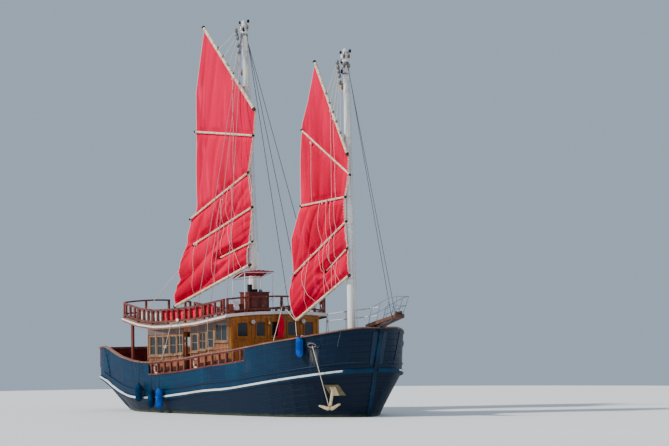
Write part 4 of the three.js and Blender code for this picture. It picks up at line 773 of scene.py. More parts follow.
# Sails. Spars' columns: x and z of the after end, x and z of the fore end, radius.
# rows: where each spar from the boom up meets the leech and the luff, as their points' numbers.
# folds: for each panel from the boom up, lean from upright in degrees, slack, pitch of the broad folds.
SAILS = {
    "main": {
        "body": MAIN_RIG, "mast": [(0.710, 5.70), (0.170, 18.15)], "seed": 3.7,
        "yard": (-2.590, 18.050, 1.410, 13.890, 0.075),
        "battens": [(-3.390, 13.160, 1.300, 12.720, 0.048), (-3.860, 9.030, 0.870, 11.060, 0.048),
                    (-3.640, 7.810, 1.180, 9.460, 0.048), (-1.490, 7.160, 1.150, 7.880, 0.040)],
        "boom": (-5.150, 4.930, 0.980, 6.808, 0.070),
        "leech": [(-5.130, 4.937), (-5.217, 5.550), (-4.974, 5.960), (-4.650, 6.180), (-4.759, 6.420),
                  (-4.822, 6.700), (-4.734, 7.000), (-4.494, 7.330), (-4.200, 7.740), (-4.080, 7.900),
                  (-4.110, 8.240), (-3.974, 8.580), (-3.800, 9.030), (-3.360, 9.480), (-3.330, 10.900),
                  (-3.330, 13.160), (-3.280, 14.980), (-2.575, 18.034)],
        "luff": [(0.640, 6.704), (0.760, 7.700), (1.000, 8.700), (1.080, 9.460), (1.050, 10.300),
                 (0.830, 11.060), (1.100, 12.000), (1.230, 12.720), (1.240, 13.300), (1.395, 13.906)],
        "rows": [(0, 0), (8, 3), (12, 5), (15, 7), (17, 9)],
        "folds": [(60, 0.44, 1.05), (42, 0.32, 0.85), (17, 0.20, 0.95), (8, 0.17, 1.10)],
        "cloth_y": (-0.235, -0.270), "flat": (6.6, 13.6),
    },
    "fore": {
        "body": FORE_RIG, "mast": [(7.985, 3.94), (7.720, 16.08)], "seed": 11.2,
        "yard": (5.890, 15.810, 8.230, 11.480, 0.065),
        "battens": [(4.850, 12.780, 8.390, 10.580, 0.042), (4.720, 9.360, 8.060, 9.651, 0.042),
                    (4.160, 6.280, 8.090, 8.596, 0.042), (6.530, 6.370, 8.120, 7.401, 0.036)],
        "boom": (4.270, 4.180, 8.290, 6.210, 0.062),
        "leech": [(4.285, 4.188), (3.960, 4.880), (3.780, 5.560), (4.110, 6.400), (4.040, 7.870),
                  (4.730, 9.360), (4.720, 11.500), (4.860, 12.900), (5.650, 15.000), (5.900, 15.791)],
        "luff": [(8.200, 6.165), (8.080, 7.310), (7.900, 8.460), (7.890, 9.640), (8.080, 10.100),
                 (8.180, 10.580), (8.215, 11.508)],
        "rows": [(0, 0), (3, 2), (5, 3), (7, 5), (9, 6)],
        "folds": [(54, 0.42, 0.95), (20, 0.34, 0.90), (8, 0.19, 0.80), (5, 0.15, 0.90)],
        "cloth_y": (-0.220, -0.255), "flat": (4.9, 11.8),
    },
}
CLOTH_THICK = 0.008
ACROSS, ROWS_A_METRE = 132, 20
HELD = 0.32                         # how far from a spar the cloth hangs free
FULLNESS = 1.06                     # cloth's area over its outline's
COIL_TURNS = 1.3 / 3                # of the luff's lacing, from one of the rope's points to the next


def ripple(x, seed):
    """A fold's section: rounded ridges between sharper valleys, 0 to 1."""
    phase = x + 0.55 * noise.noise(Vector((x * 0.37, seed, 4.1)))
    return abs(math.cos(math.pi * phase)) ** 0.8


def spar_distance(x, z, spar):
    x0, z0, x1, z1, _ = spar
    dx, dz = x1 - x0, z1 - z0
    t = min(1.0, max(0.0, ((x - x0) * dx + (z - z0) * dz) / (dx * dx + dz * dz)))
    return math.hypot(x - x0 - t * dx, z - z0 - t * dz)


def polygon_area(points):
    return abs(sum(a[0] * b[1] - b[0] * a[1] for a, b in zip(points, points[1:] + points[:1]))) / 2


def mast_x(sail, z):
    (x0, z0), (x1, z1) = sail["mast"]
    return x0 + (z - z0) * (x1 - x0) / (z1 - z0)


def sail_rows(sail):
    """Rows of flat points from boom to yard, each with its share of its panel's height, and the panel."""
    rows = []
    panels = list(zip(sail["rows"], sail["rows"][1:]))
    for n, ((le0, lu0), (le1, lu1)) in enumerate(panels):
        leech = [Vector((x, 0, z)) for x, z in sail["leech"][le0:le1 + 1]]
        luff = [Vector((x, 0, z)) for x, z in sail["luff"][lu0:lu1 + 1]]
        tall = sum((b - a).length for a, b in zip(leech, leech[1:]))
        count = max(8, int(tall * ROWS_A_METRE))
        left, right = arc(leech, count), arc(luff, count)
        for k in range(count if n == len(panels) - 1 else count - 1):
            row = [left[k].lerp(right[k], s / (ACROSS - 1)) for s in range(ACROSS)]
            rows.append((row, k / (count - 1), n))
    return rows


def folded_cloth(sail):
    """The cloth's points with its folds, in rows from the boom up to the yard."""
    seed, middle = sail["seed"], sum(sail["cloth_y"]) / 2
    spars = [sail["boom"], sail["yard"], *sail["battens"]]

    def waver(x, z, lift):
        return noise.noise(Vector((x, z, seed + lift)))

    front = []
    for row, t, panel in sail_rows(sail):
        lean, slack, pitch = sail["folds"][panel]
        cosine, sine = math.cos(math.radians(lean)), math.sin(math.radians(lean))
        line = []
        for s, p in enumerate(row):
            u = s / (ACROSS - 1)
            x, z = p.x, p.z
            free = smooth(min(spar_distance(x, z, spar) for spar in spars) / HELD)
            at, run = x * cosine - z * sine, x * sine + z * cosine
            broad = ripple(at / pitch + 0.8 * waver(at * 0.45, run * 0.14, 0), seed)
            drift = waver(at * 0.8, run * 0.20, 5)
            narrow = ripple(at / 0.36 + drift, seed + 2)
            crease = ripple(at / 0.15 + 0.9 * drift, seed + 4)
            shown = smooth(0.5 + 1.6 * waver(at * 0.6, run * 0.30, 14))
            pull = 0.55 + 0.9 * abs(waver(x * 0.33, z * 0.27, 20))
            belly = 0.55 * slack * math.sin(math.pi * t) * math.sin(math.pi * u)
            out = belly + slack * pull * (0.46 * broad + shown * (0.20 * narrow + 0.05 * crease))
            out = max(0.0, out) * free * (0.35 + 0.65 * smooth(min(u, 1 - u) / 0.07))
            inward = 0.03 * free * smooth((abs(x - mast_x(sail, z)) - 0.35) / 0.4) * (1 - broad)
            line.append(Vector((x, middle - out + inward, z)))
        front.append(line)
    return front


def make_sail(name):
    sail = SAILS[name]
    cloth = folded_cloth(sail)
    count = len(cloth)
    starboard_face, port_face = [], []
    for r in range(count):
        for s in range(ACROSS):
            dx = cloth[r][min(s + 1, ACROSS - 1)] - cloth[r][max(s - 1, 0)]
            dz = cloth[min(r + 1, count - 1)][s] - cloth[max(r - 1, 0)][s]
            half = dx.cross(dz).normalized() * (CLOTH_THICK / 2)
            starboard_face.append(cloth[r][s] + half)
            port_face.append(cloth[r][s] - half)
    piece = Build().sheet(starboard_face, port_face, ACROSS).make(f"{name}_sail_cloth", sail["body"], "sail")
    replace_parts(piece, f"{name}_sail")

    ropes = Build()
    leech, luff = ([line[end] for line in cloth[::3]] for end in (0, -1))
    for edge in (leech, luff, cloth[-1][::3]):
        ropes.tube(edge, 0.022, 6)
    coil = []
    for k, p in enumerate(luff):
        for j in range(6):
            a = (k + j / 6) * 2 * math.pi * COIL_TURNS
            q = p.lerp(luff[min(k + 1, len(luff) - 1)], j / 6)
            coil.append(q + Vector((0.045 * math.cos(a), 0.045 * math.sin(a), 0)))
    ropes.tube(coil, 0.011, 4, 1)
    trim = ropes.make(f"{name}_sail_bolt_ropes", sail["body"], "bolt_rope", "rope")
    area = round(polygon_area(sail["leech"] + sail["luff"][::-1]) * FULLNESS, 2)
    return cloth


SAIL_POINTS = {name: make_sail(name) for name in SAILS}


def spar_y(sail, radius):
    """The middle of a spar that lies against the cloth. The spars are ten-sided."""
    return sail["cloth_y"][1] - 0.0003 - radius * math.cos(math.pi / 10)


def on_spar(spar, x):
    return spar[1] + (x - spar[0]) * (spar[3] - spar[1]) / (spar[2] - spar[0])


def make_spar_gear(name):
    """Lashings along each spar, and end plugs."""
    sail = SAILS[name]
    gear = Build()
    for x0, z0, x1, z1, radius in (sail["yard"], *sail["battens"], sail["boom"]):
        y = spar_y(sail, radius)
        a, b = Vector((x0, y, z0)), Vector((x1, y, z1))
        along = (b - a).normalized()
        count = max(4, int((b - a).length / 0.46))
        round_it = radius + 0.006
        across = along.cross(Vector(TO_PORT)).normalized() * round_it
        for k in range(count):
            centre = a.lerp(b, (k + 0.5) / count)
            for lift in (-0.012, 0.012):
                turn = ellipse(centre + along * lift, across, Vector(TO_PORT) * round_it, 10)
                gear.tube(turn, 0.011, 4, 0, True)
        plug = [(0, radius + 0.004), (0.0, radius + 0.010), (0.09, radius + 0.010), (0.12, radius * 0.5)]
        for end, out in ((a, -along), (b, along)):
            gear.lathe(end - out * 0.10, out, plug, 12, 1)
    gear.make(f"{name}_spar_lashings", sail["body"], "rope", "black")


# Lines on the face of each sail. Columns: x and z of the top and of the foot, sag to one side.
FACE_LINES = {
    "main": [(-0.20, 15.50, -0.15, 6.50, 0.00), (-1.05, 9.90, -1.00, 7.30, 0.05),
             (-1.12, 9.90, -1.80, 5.95, -0.12), (-3.20, 7.90, -3.45, 5.45, 0.06),
             (-0.45, 10.45, 0.40, 6.62, -0.50)],
    "fore": [(7.10, 13.55, 7.15, 5.60, 0.00), (7.28, 13.20, 7.45, 5.75, 0.05), (6.75, 9.55, 6.60, 5.35, 0.10),
             (6.45, 9.50, 6.95, 5.50, -0.30), (5.65, 12.20, 5.70, 9.45, 0.02), (5.60, 7.15, 5.20, 4.62, 0.10),
             (7.05, 7.95, 7.75, 5.92, -0.30), (5.15, 6.85, 5.95, 5.02, -0.28)],
}


def make_face_lines(name):
    lines = Build()
    cloth = SAIL_POINTS[name]
    tree = BVHTree.FromPolygons([p for row in cloth for p in row], [
        (r * ACROSS + k, r * ACROSS + k + 1, (r + 1) * ACROSS + k + 1, (r + 1) * ACROSS + k)
        for r in range(len(cloth) - 1) for k in range(ACROSS - 1)])
    clear_of_spars = SAILS[name]["cloth_y"][1] - 0.12
    for x0, z0, x1, z1, sway in FACE_LINES[name]:
        places, faces = [], []
        steps = max(24, int(abs(z1 - z0) / 0.12))
        for k in range(steps + 1):
            t = k / steps
            x, z = x0 + (x1 - x0) * t + sway * math.sin(math.pi * t), z0 + (z1 - z0) * t
            point = hit(tree, (x, -4, z), TO_PORT)
            places.append((x, z))
            faces.append(min(clear_of_spars, point.y - 0.018) if point else clear_of_spars)
        path = [(x, min(faces[max(0, k - 2):k + 3]), z) for k, (x, z) in enumerate(places)]
        lines.tube(path, 0.010, 5)
        lines.block((x0, clear_of_spars, z0 + 0.02), "face", 8, 1)
    lines.make(f"{name}_sail_lines", SAILS[name]["body"], "bolt_rope", "bolt_rope")


# Halyards. Height on the mast, and for each its share of the yard's length and its drop below that height.
HALYARDS = {
    "main": (17.65, [(0.30, 0.0), (0.40, 0.2), (0.50, 0.35), (0.60, 0.7), (0.72, 1.0)]),
    "fore": (15.60, [(0.38, 0.0), (0.48, 0.2), (0.58, 0.4), (0.68, 0.6), (0.80, 0.9)]),
}


def make_halyards(name):
    """Halyards and blocks between a masthead and its yard, which turn with the yard."""
    sail = SAILS[name]
    top, places = HALYARDS[name]
    gear = Build()
    yard = sail["yard"]
    x, y = mast_x(sail, top), spar_y(sail, yard[4])
    for k, (share, drop) in enumerate(places):
        at = yard[0] + share * (yard[2] - yard[0])
        head = Vector((x - 0.10 + 0.05 * k, -0.37, top - drop))
        foot = Vector((at, y - 0.02, on_spar(yard, at) + yard[4]))
        gear.tube(sagging(head, foot, 0.05), 0.016, 5)
        gear.block(head + Vector((0, 0, 0.10)), "halyard", 10, 1)
        gear.block(foot + Vector((0, 0, 0.16)), "yard", 10, 1)
    gear.make(f"{name}_halyards", sail["body"], "rope", "galvanised")


# Mastheads. blocks: rings of (count, drop below top). loose: drops of single brown blocks on the after side.
# falls: places at the foot, from the mast, of the ropes that run down it. arm: height of the cross arm.
MASTHEADS = {
    "main": {"top": 17.90, "radius": 0.12, "foot": 4.75, "arm": 18.04, "blocks": [(5, 0.12)],
             "loose": [1.0, 2.2], "falls": [(0.40, 0.12), (0.36, -0.10), (0.44, 0.02)]},
    "fore": {"top": 15.98, "radius": 0.11, "foot": 3.05, "arm": 16.06, "blocks": [(4, 0.12), (4, 0.55)],
             "loose": [1.15, 1.45, 1.80], "falls": [(0.24, 0.13), (0.19, 0.02), (-0.30, 0.20)]},
}


def make_masthead(name):
    sail, head = SAILS[name], MASTHEADS[name]
    top, radius, foot, arm = (head[key] for key in ("top", "radius", "foot", "arm"))
    gear = Build()
    x = mast_x(sail, top)
    for count, drop in head["blocks"]:
        for k in range(count):
            a = 2 * math.pi * (k + 0.4) / count
            z = top - drop - 0.12 * (k % 3)
            at = mast_x(sail, z)
            px, py = at + (radius + 0.06) * math.cos(a), (radius + 0.06) * math.sin(a)
            gear.block((px, py, z + 0.12), "mast", 8, 2 if k % 3 else 3)
            inner = (at + radius * math.cos(a) * 0.9, radius * math.sin(a) * 0.9, z + 0.22)
            gear.tube([inner, (px, py, z + 0.10)], 0.02, 5, 1)
        z = top - drop - 0.32
        out = radius + 0.035
        gear.tube(ellipse((mast_x(sail, z), 0, z), (out, 0, 0), (0, out, 0), 16), 0.030, 6, 1, True)
    for k, drop in enumerate(head["loose"]):
        at = mast_x(sail, top - drop)
        px, py = at - radius - 0.07, (-1) ** k * 0.05
        gear.block((px, py, top - drop + 0.14), "loose", 8, 3)
        gear.tube([(at - radius * 0.8, py, top - drop + 0.24), (px, py, top - drop + 0.12)], 0.020, 5, 1)
    for k, (dx, dy) in enumerate(head["falls"]):
        high = (x + (radius + 0.08) * math.copysign(1, dx), dy * 0.45, top - 0.35 - 0.1 * k)
        gear.tube(sagging(high, (mast_x(sail, foot) + dx, dy, foot), 0.0, 6), 0.012, 5, 0)
    gear.tube([(x - 0.32, 0.0, arm), (x + 0.34, 0.0, arm)], 0.014, 6, 1)
    for out, wide, tall in ((-0.32, 0.05, 0.14), (0.34, 0.06, 0.16)):
        profile = [(0, 0.02), (0.02, wide), (tall - 0.04, wide), (tall, 0.02)]
        gear.lathe((x + out, 0, arm - 0.05), UPWARD, profile, 10, 2)
    gear.make(f"masthead_gear_{name}", SHIP, "rope", "galvanised", "black", "block_wood")


for make in (make_spar_gear, make_face_lines, make_halyards, make_masthead):
    for rig in SAILS:
        make(rig)

# Sheets from the after edge of each sail down to the ship
SHEETS = [
    ("main_sheet_aft", MAIN_RIG, (-4.70, -0.36, 6.70), (-6.75, -1.10, 4.62)),
    ("main_sheet_boom", MAIN_RIG, (-4.60, -0.36, 5.06), (-5.60, -0.55, 4.42)),
    ("fore_sheet_high", FORE_RIG, (4.34, -0.34, 6.36), (2.42, -0.30, 5.16)),
    ("fore_sheet_boom", FORE_RIG, (4.40, -0.34, 4.20), (2.50, 0.38, 4.98)),
    ("fore_sheet_rail", FORE_RIG, (4.38, -0.36, 4.16), (7.48, -2.66, 3.56)),
]


def sheet_rope(name, body, high, low, sag):
    return Build().tube(sagging(high, low, sag, 18), 0.014, 6).make(name, body, "rope")


sheet_rope("fore_sheet_tail", SHIP, (2.50, 0.36, 5.02), (5.72, -2.62, 3.34), 0.03)
for name, body, high, low in SHEETS:
    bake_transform(sheet_rope(name, None, high, low, 0.05))

# Side windows. Columns: from x, to x, height of the sill and of the head above the deck, panes along and up.
SIDE_WINDOWS = [
    (-4.010, -3.550, 1.240, 2.100, (1, 2)), (-3.460, -2.960, 1.240, 2.100, (1, 2)),
    (-2.880, -2.460, 1.240, 2.080, (1, 2)), (-2.380, -1.880, 1.230, 2.060, (1, 2)),
    (-1.800, -1.370, 1.230, 2.040, (1, 2)), (-0.640, -0.170, 1.220, 2.000, (1, 2)),
    (-0.050, 0.470, 1.220, 1.990, (2, 2)), (0.590, 1.070, 1.220, 1.990, (1, 2)),
    (1.230, 2.130, 1.450, 2.210, (2, 1)),
]
# Front windows. Columns: from y, to y, z of the sill and of the head.
FRONT_WINDOWS = [
    (-2.130, -1.520, 3.510, 4.180), (-1.080, -0.560, 3.510, 4.200), (-0.240, 0.220, 3.510, 4.210),
    (0.700, 1.260, 3.510, 4.200), (1.660, 2.180, 3.510, 4.180),
]
LAP, SASH, BAR = 0.006, 0.032, 0.014


def make_window(frames, glass, origin, across, out, width, height, panes, casing):
    """origin is the opening's lower corner on the wall's outer face, across and out are unit vectors."""
    origin, across, out = Vector(origin), Vector(across), Vector(out)

    def bar(build, a0, a1, z0, z1, d0, d1):
        build.loft([[origin + across * a + Vector(UPWARD) * z + out * d
                     for a, z in ((a0, z0), (a1, z0), (a1, z1), (a0, z1))] for d in (d0, d1)])

    def surround(outer, inner, d0, d1):
        bar(frames, outer, inner, outer, height - outer, d0, d1)
        bar(frames, width - inner, width - outer, outer, height - outer, d0, d1)
        bar(frames, inner, width - inner, height - inner, height - outer, d0, d1)
        bar(frames, inner, width - inner, outer, inner, d0, d1)

    surround(-casing, LAP, PROUD, 0.028)
    bar(frames, -casing - 0.03, width + casing + 0.03, -casing - 0.035, -casing + 0.01, PROUD, 0.075)
    surround(LAP, LAP + SASH, -0.045, -0.004)
    columns, rows = panes
    for k in range(1, columns):
        a = width * k / columns
        bar(frames, a - BAR, a + BAR, SASH, height - SASH, -0.040, -0.008)
    for k in range(1, rows):
        z = height * k / rows
        bar(frames, SASH, width - SASH, z - BAR, z + BAR, -0.040, -0.008)
    bar(glass, 0.02, width - 0.02, 0.02, height - 0.02, -0.030, -0.024)


def make_windows():
    for side_name, side in SIDES.items():
        wall = skin(f"house_{side_name}")
        frames, glass = Build(), Build()
        for x0, x1, sill, head, panes in SIDE_WINDOWS:
            x = (x0 + x1) / 2
            middle = (x, side * (WALL_Y - 0.03), sheer(x) - DECK_DROP + (sill + head) / 2)
            low, high = hit(wall, middle, DOWNWARD).z, hit(wall, middle, UPWARD).z
            make_window(frames, glass, (x0, side * WALL_Y, low), AHEAD_WAY, (0, side, 0), x1 - x0, high - low,
                        panes, 0.045)
        frames.make(f"side_window_frames_{side_name}", SHIP, "frame")
        glass.make(f"side_window_glass_{side_name}", SHIP, "glass_grey")
    frames, glass = Build(), Build()
    for y0, y1, low, high in FRONT_WINDOWS:
        make_window(frames, glass, (FRONT_X, y0, low), TO_PORT, AHEAD_WAY, y1 - y0, high - low, (1, 1), 0.04)
    frames.make("front_window_frames", SHIP, "frame_gold")
    glass.make("front_window_glass", SHIP, "glass")
    frames, glass = Build(), Build()
    sill = top_of(DECK, -4.26, 0.0) + 1.23
    for y0, y1 in ((-2.1, -0.9), (0.9, 2.1)):
        make_window(frames, glass, (AFT_X, y1, sill), (0, -1, 0), (-1, 0, 0), y1 - y0, 0.86, (3, 1), 0.06)
    frames.make("aft_window_frames", SHIP, "frame_gold")
    glass.make("aft_window_glass", SHIP, "glass")


def slab(half_width, half_height):
    """A bar's section, for a sweep."""
    w, h = half_width, half_height
    return [(-w, -h), (w, -h), (w, h), (-w, h)]


# Panelling of the deckhouse: corner posts, posts between the windows, rails and a fascia under the upper deck
def make_front_trim():
    trim = Build()
    for y in (-2.46, -1.30, -0.40, 0.46, 1.46, 2.40):
        top = top_of(ROOF, FRONT_X + 0.02, y) - 0.17
        trim.box((FRONT_X + PROUD, y - 0.045, 2.05), (FRONT_X + 0.040, y + 0.045, top))
    for low, high in ((3.33, 3.41), (2.10, 2.24)):
        trim.box((FRONT_X + PROUD, -2.50, low), (FRONT_X + 0.030, 2.50, high))
    for y0, y1 in ((-2.50, -1.25), (-1.25, 0.0), (0.0, 1.25), (1.25, 2.50)):
        path = [(FRONT_X + 0.022, y, top_of(ROOF, FRONT_X + 0.02, y) - 0.235)
                for y in (y0, (y0 + y1) / 2, y1)]
        trim.sweep(path, slab(0.02, 0.05))
    trim.make("front_wall_trim", SHIP, "frame_gold")


def window_heads(x):
    """z of the side windows' heads at x."""
    return sheer(x) - DECK_DROP + (2.155 if x < -1.3 else 2.26 if x > 1.18 else 2.045)


def make_side_trim(side_name, side):
    trim = Build()
    y = side * (WALL_Y + PROUD)
    deck_y, roof_y = side * (WALL_Y + 0.03), side * (WALL_Y + 0.02)
    for x in (-4.17, -3.505, -2.92, -2.42, -1.84, -1.34, -0.70, -0.11, 0.53, 1.15, 2.18, 2.30):
        low, high = top_of(DECK, x, deck_y) + 0.004, top_of(ROOF, x, roof_y) - 0.20
        trim.box((x - 0.028, y, low), (x + 0.028, y + side * 0.034, high), 0)
    for stretch in ((-4.19, -3.40, -1.36), (-0.72, 0.85, 2.30)):
        for lift, half_height in ((1.13, 0.03), (0.62, 0.03), (0.05, 0.05)):
            path = [(x, y + side * 0.012, top_of(DECK, x, deck_y) + lift) for x in stretch]
            trim.sweep(path, slab(0.011, half_height))
    # the fascia under the upper deck, in a dark look that is partly painted shade
    for stretch in ((-4.19, -3.6, -2.48, -1.37), (-0.71, 0.16, 1.18), (1.18, 1.4, 2.30)):
        rings = []
        for x in stretch:
            z = top_of(ROOF, x, roof_y)
            low, high, outer = max(window_heads(x), z - 0.75), z - 0.145, y + side * 0.030
            rings.append([(x, y, low), (x, outer, low), (x, outer, high), (x, y, high)])
        trim.loft(rings, 1)
    trim.make(f"side_wall_trim_{side_name}", SHIP, "frame", "fascia")


# Mouldings under the upper deck's edge and along the topsides
def make_mouldings(side_name, side):
    strip = Build()
    start, end, steps = -7.03, 2.51, 48
    edges = []
    for k in range(steps + 1):
        x = start + k * (end - start) / steps
        edges.append((x, *roof_edge(x, side)))
    strip.sweep([(x, y - side * 0.035, z - 0.042) for x, y, z in edges], slab(0.022, 0.040))
    strip.sweep([(x, y + side * 0.014, z + 0.115) for x, y, z in edges], slab(0.013, 0.016))
    strip.make(f"roof_moulding_{side_name}", SHIP, "cap")
    ledge = Build()
    section = [(-0.030, -0.030), (0.030, -0.024), (0.036, 0.0), (0.030, 0.024), (-0.030, 0.030)]
    start, end, steps = -8.55, 9.30, 96
    path = []
    for k in range(steps + 1):
        x = start + k * (end - start) / steps
        z = wale(x) + 0.34 * (sheer(x) - wale(x)) * 0.62
        point, normal = side_hit(x, z, side)
        path.append(point + normal * 0.006)
    # on round the bow
    beam, last, steps = abs(path[-1].y), 0.62, 12
    for k in range(1, steps + 1):
        y = beam - 0.02 + (last - beam) * k / steps
        path.append(bow_hit(y, z + 0.004 * k, side) + Vector((0.006, 0, 0)))
    ledge.sweep(path, [(-side * s, h) for s, h in section])
    ledge.make(f"topside_moulding_{side_name}", SHIP, "navy")


def make_stem_cheeks(side_name, side):
    """Timbers up the bow. Columns: y of the middle at the top and at the foot, half width."""
    timber = Build()
    high, tall, steps = 3.72, 1.42, 12
    places = [(0.24, 0.22, 0.14)] + ([(1.45, 1.10, 0.025)] if side == PORT else [])
    for y0, y1, half in places:
        rings = []
        for k in range(steps + 1):
            t = k / steps
            z, y = high - tall * t, y0 + (y1 - y0) * t
            near, far = bow_hit(y - half, z, side), bow_hit(y + half, z, side)
            out = Vector((near.y - far.y, far.x - near.x, 0)).normalized()
            out *= math.copysign(1, out.x)
            rings.append([near - out * 0.02, far - out * 0.02, far + out * 0.026, near + out * 0.026])
        timber.loft(rings)
    timber.make(f"stem_cheeks_{side_name}", SHIP, "navy")


def make_hawse(side_name, side):
    gear = Build()
    _, normal = side_hit(HAWSE_X, HAWSE_Z, side)

    def round_hole(rx, rz, count, lift):
        return [side_hit(HAWSE_X + rx * math.cos(a), HAWSE_Z + rz * math.sin(a), side)[0] + normal * lift
                for a in turns(count)]

    gear.tube(round_hole(0.30, 0.13, 28, 0.012), 0.030, 6, 0, True)
    gear.tube(round_hole(0.17, 0.085, 28, 0.030), 0.024, 6, 1, True)
    gear.loft([round_hole(0.165, 0.08, 24, lift) for lift in (0.004, 0.012)], 2)
    gear.make(f"hawse_{side_name}", SHIP, "navy", "galvanised", "black")


make_windows()
make_front_trim()
for make in (make_side_trim, make_mouldings, make_stem_cheeks, make_hawse):
    for side_name, side in SIDES.items():
        make(side_name, side)


def make_anchor_rope():
    """From the starboard hawse hole to the anchor's crown, straight where it stands clear of the wale."""
    bow_side = skin("hull", "bulwark_starboard", "bulwark_bow", "wale_starboard", "anchor")
    point, normal = side_hit(8.43, 3.13, STARBOARD)
    start = point + normal * 0.05
    end = hit(skin("anchor"), (8.70, -ABEAM, 0.50), TO_PORT) + Vector((0, -0.02, 0))
    count, clearance, ahead_for_each_out = 30, 0.035, 1.28
    line = [start.lerp(end, k / (count - 1)) for k in range(count)]
    needed = [max(0.0, p.y - hit(bow_side, (p.x, -ABEAM, p.z), TO_PORT).y + clearance) for p in line]
    peak = max(range(count), key=lambda k: needed[k])
    path = []
    for k, p in enumerate(line):
        away = needed[peak] * min(k / max(peak, 1), (count - 1 - k) / (count - 1 - peak))
        path.append(p + Vector((away * ahead_for_each_out, -max(away, needed[k]), 0)))
    rope = Build().tube(path, 0.016, 6)
    rope.tube(ellipse(end + Vector((0, 0, -0.05)), (0.06, 0, 0), (0, 0, 0.06), 16), 0.016, 6, 1, True)
    rope.make("anchor_rope", SHIP, "rope", "iron")


make_anchor_rope()


# Fenders: a closed form with a swelling body, ribbed ends, an eye and a lanyard up to the cap rail
def make_fender(k, look, rope_look_name, rope_radius):
    low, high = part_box(f"fender_{k}")
    x, y = (low.x + high.x) / 2, (low.y + high.y) / 2
    length, radius = high.z - low.z, (high.x - low.x) / 2
    rounding, ribbed, rib_pitch, steps = 0.19, 0.13, 0.045, 40
    profile = []
    for j in range(steps + 1):
        t = j / steps
        end = min(t, 1 - t) * length
        r = radius * min(1.0, math.sqrt(max(0.0, 1 - (1 - min(1, end / rounding)) ** 2)) * 0.98 + 0.02)
        groove = 0.006 * (0.5 + 0.5 * math.cos(2 * math.pi * end / rib_pitch)) if end < ribbed else 0.0
        profile.append((t * length, max(0.02, r - groove) * (0.985 + 0.015 * math.sin(math.pi * t))))
    fender = Build().lathe((x, y, low.z), UPWARD, profile, 28).make(f"fender_{k}_body", SHIP, look)
    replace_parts(fender, f"fender_{k}")
    gear = Build()
    gear.lathe((x, y, high.z - 0.03), UPWARD, [(0, 0.055), (0.05, 0.05), (0.08, 0.03)], 14, 1)
    outer = rail_edge(x, sheer(x)).y
    rail = top_of(CAP_RAIL, x, outer + 0.05)
    gear.tube([(x, y, high.z + 0.02), (x, (y + outer) / 2, (high.z + rail) / 2),
               (x, outer - 0.02, rail - 0.03), (x, outer + 0.02, rail + 0.025),
               (x, outer + 0.18, rail + 0.02)], rope_radius, 6, 0)
    gear.make(f"fender_{k}_lanyard", SHIP, rope_look_name, "black")


for row in ((1, "fender_dark", "dark_rope", 0.010), (2, "fender_dark", "dark_rope", 0.010),
            (3, "fender", "dark_rope", 0.010), (4, "fender", "rope", 0.016)):
    make_fender(*row)


# Life rings: a smooth ring with bands and a grab line held at four points
def make_life_rings():
    boxes = [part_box(f"life_ring_{k}") for k in (1, 2)]
    centres = [(low + high) / 2 for low, high in boxes]
    look = ring_look([(c.x, c.z) for c in centres])
    for k, ((low, high), c) in enumerate(zip(boxes, centres), 1):
        tube = (high.y - low.y) / 2
        radius = (high.x - low.x) / 2 - tube
        ring = Build().tube(ellipse(c, (radius, 0, 0), (0, 0, radius), 40), tube, 16, 0, True)
        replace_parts(ring.make(f"life_ring_{k}_body", SHIP, look), f"life_ring_{k}")
        path = []
        for a in turns(48):
            r = radius + tube + 0.012 + 0.035 * abs(math.sin(2 * a + math.pi / 2))
            path.append((c.x + r * math.cos(a), c.y - 0.02, c.z + r * math.sin(a)))
        Build().tube(path, 0.009, 5, 0, True).make(f"life_ring_{k}_grab_line", SHIP, "rope")


make_life_rings()


# Canopy over the helm: one sagging sheet, ribbed by its hoops and turned down along both long edges
def make_canopy():
    fore_edge = (2.430, -1.780, 6.480), (2.430, -0.060, 6.480)
    aft_edge = (1.200, -1.600, 6.150), (1.200, 0.120, 6.290)
    hoops, across, along, thick = 7, 49, 33, 0.004
    points = []
    for j in range(across):
        s = j / (across - 1)
        fore, aft = mix(*fore_edge, s), mix(*aft_edge, s)
        for k in range(along):
            t = k / (along - 1)
            x, y, z = mix(aft, fore, t)
            z += 0.070 * math.sin(math.pi * t) + 0.060 * math.sin(math.pi * s) - 0.020
            z += 0.020 * abs(math.sin(math.pi * s * hoops)) + 0.006 * noise.noise(Vector((x * 4, y * 4, 2.0)))
            if j in (0, across - 1):
                z -= 0.012
            points.append(Vector((x, y, z)))
    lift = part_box("canopy")[1].z - max(p.z for p in points)
    top = [p + Vector((0, 0, lift)) for p in points]
    under = [p - Vector((0, 0, thick)) for p in top]
    cloth = Build().sheet(top, under, along).make("canopy_cloth", SHIP, "canopy")
    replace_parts(cloth, "canopy")


make_canopy()


# A hanging red cloth, furled, in front of the deckhouse
def make_furled_cloth():
    x, y, top, tall, steps = 2.53, 0.19, 4.48, 1.04, 29
    rings = []
    for k in range(steps + 1):
        t = k / steps
        size = 0.055 + 0.085 * smooth(t * 3) - 0.02 * smooth((t - 0.7) * 3)
        middle = y + 0.03 * math.sin(5 * t)
        ring = []
        for a in turns(24):
            r = size * (1 + 0.20 * math.cos(5 * a + 1.4 * t) + 0.08 * math.cos(9 * a - 3 * t))
            ring.append((x + 0.8 * r * math.cos(a), middle + r * math.sin(a), top - tall * t))
        rings.append(ring)
    build = Build().loft(rings, 0, True)
    build.tube([(x, y, top), (2.52, y, 4.70), (2.50, y, 5.12)], 0.012, 5, 1)
    build.make("furled_red_cloth", SHIP, "red_cloth", "rope")


make_furled_cloth()


# Cloths laced along their top edges, with their folds pushed one way
def hang_cloth(name, look, columns, rows, place, away):
    """place gives a point from its column and its share of the way down, away leads off what holds it."""
    front = [place(k, r / rows) for k in range(columns + 1) for r in range(rows + 1)]
    back = [p + Vector(away) * 0.004 for p in front]
    cloth = Build().sheet(front, back, rows + 1).make(name, SHIP, look)


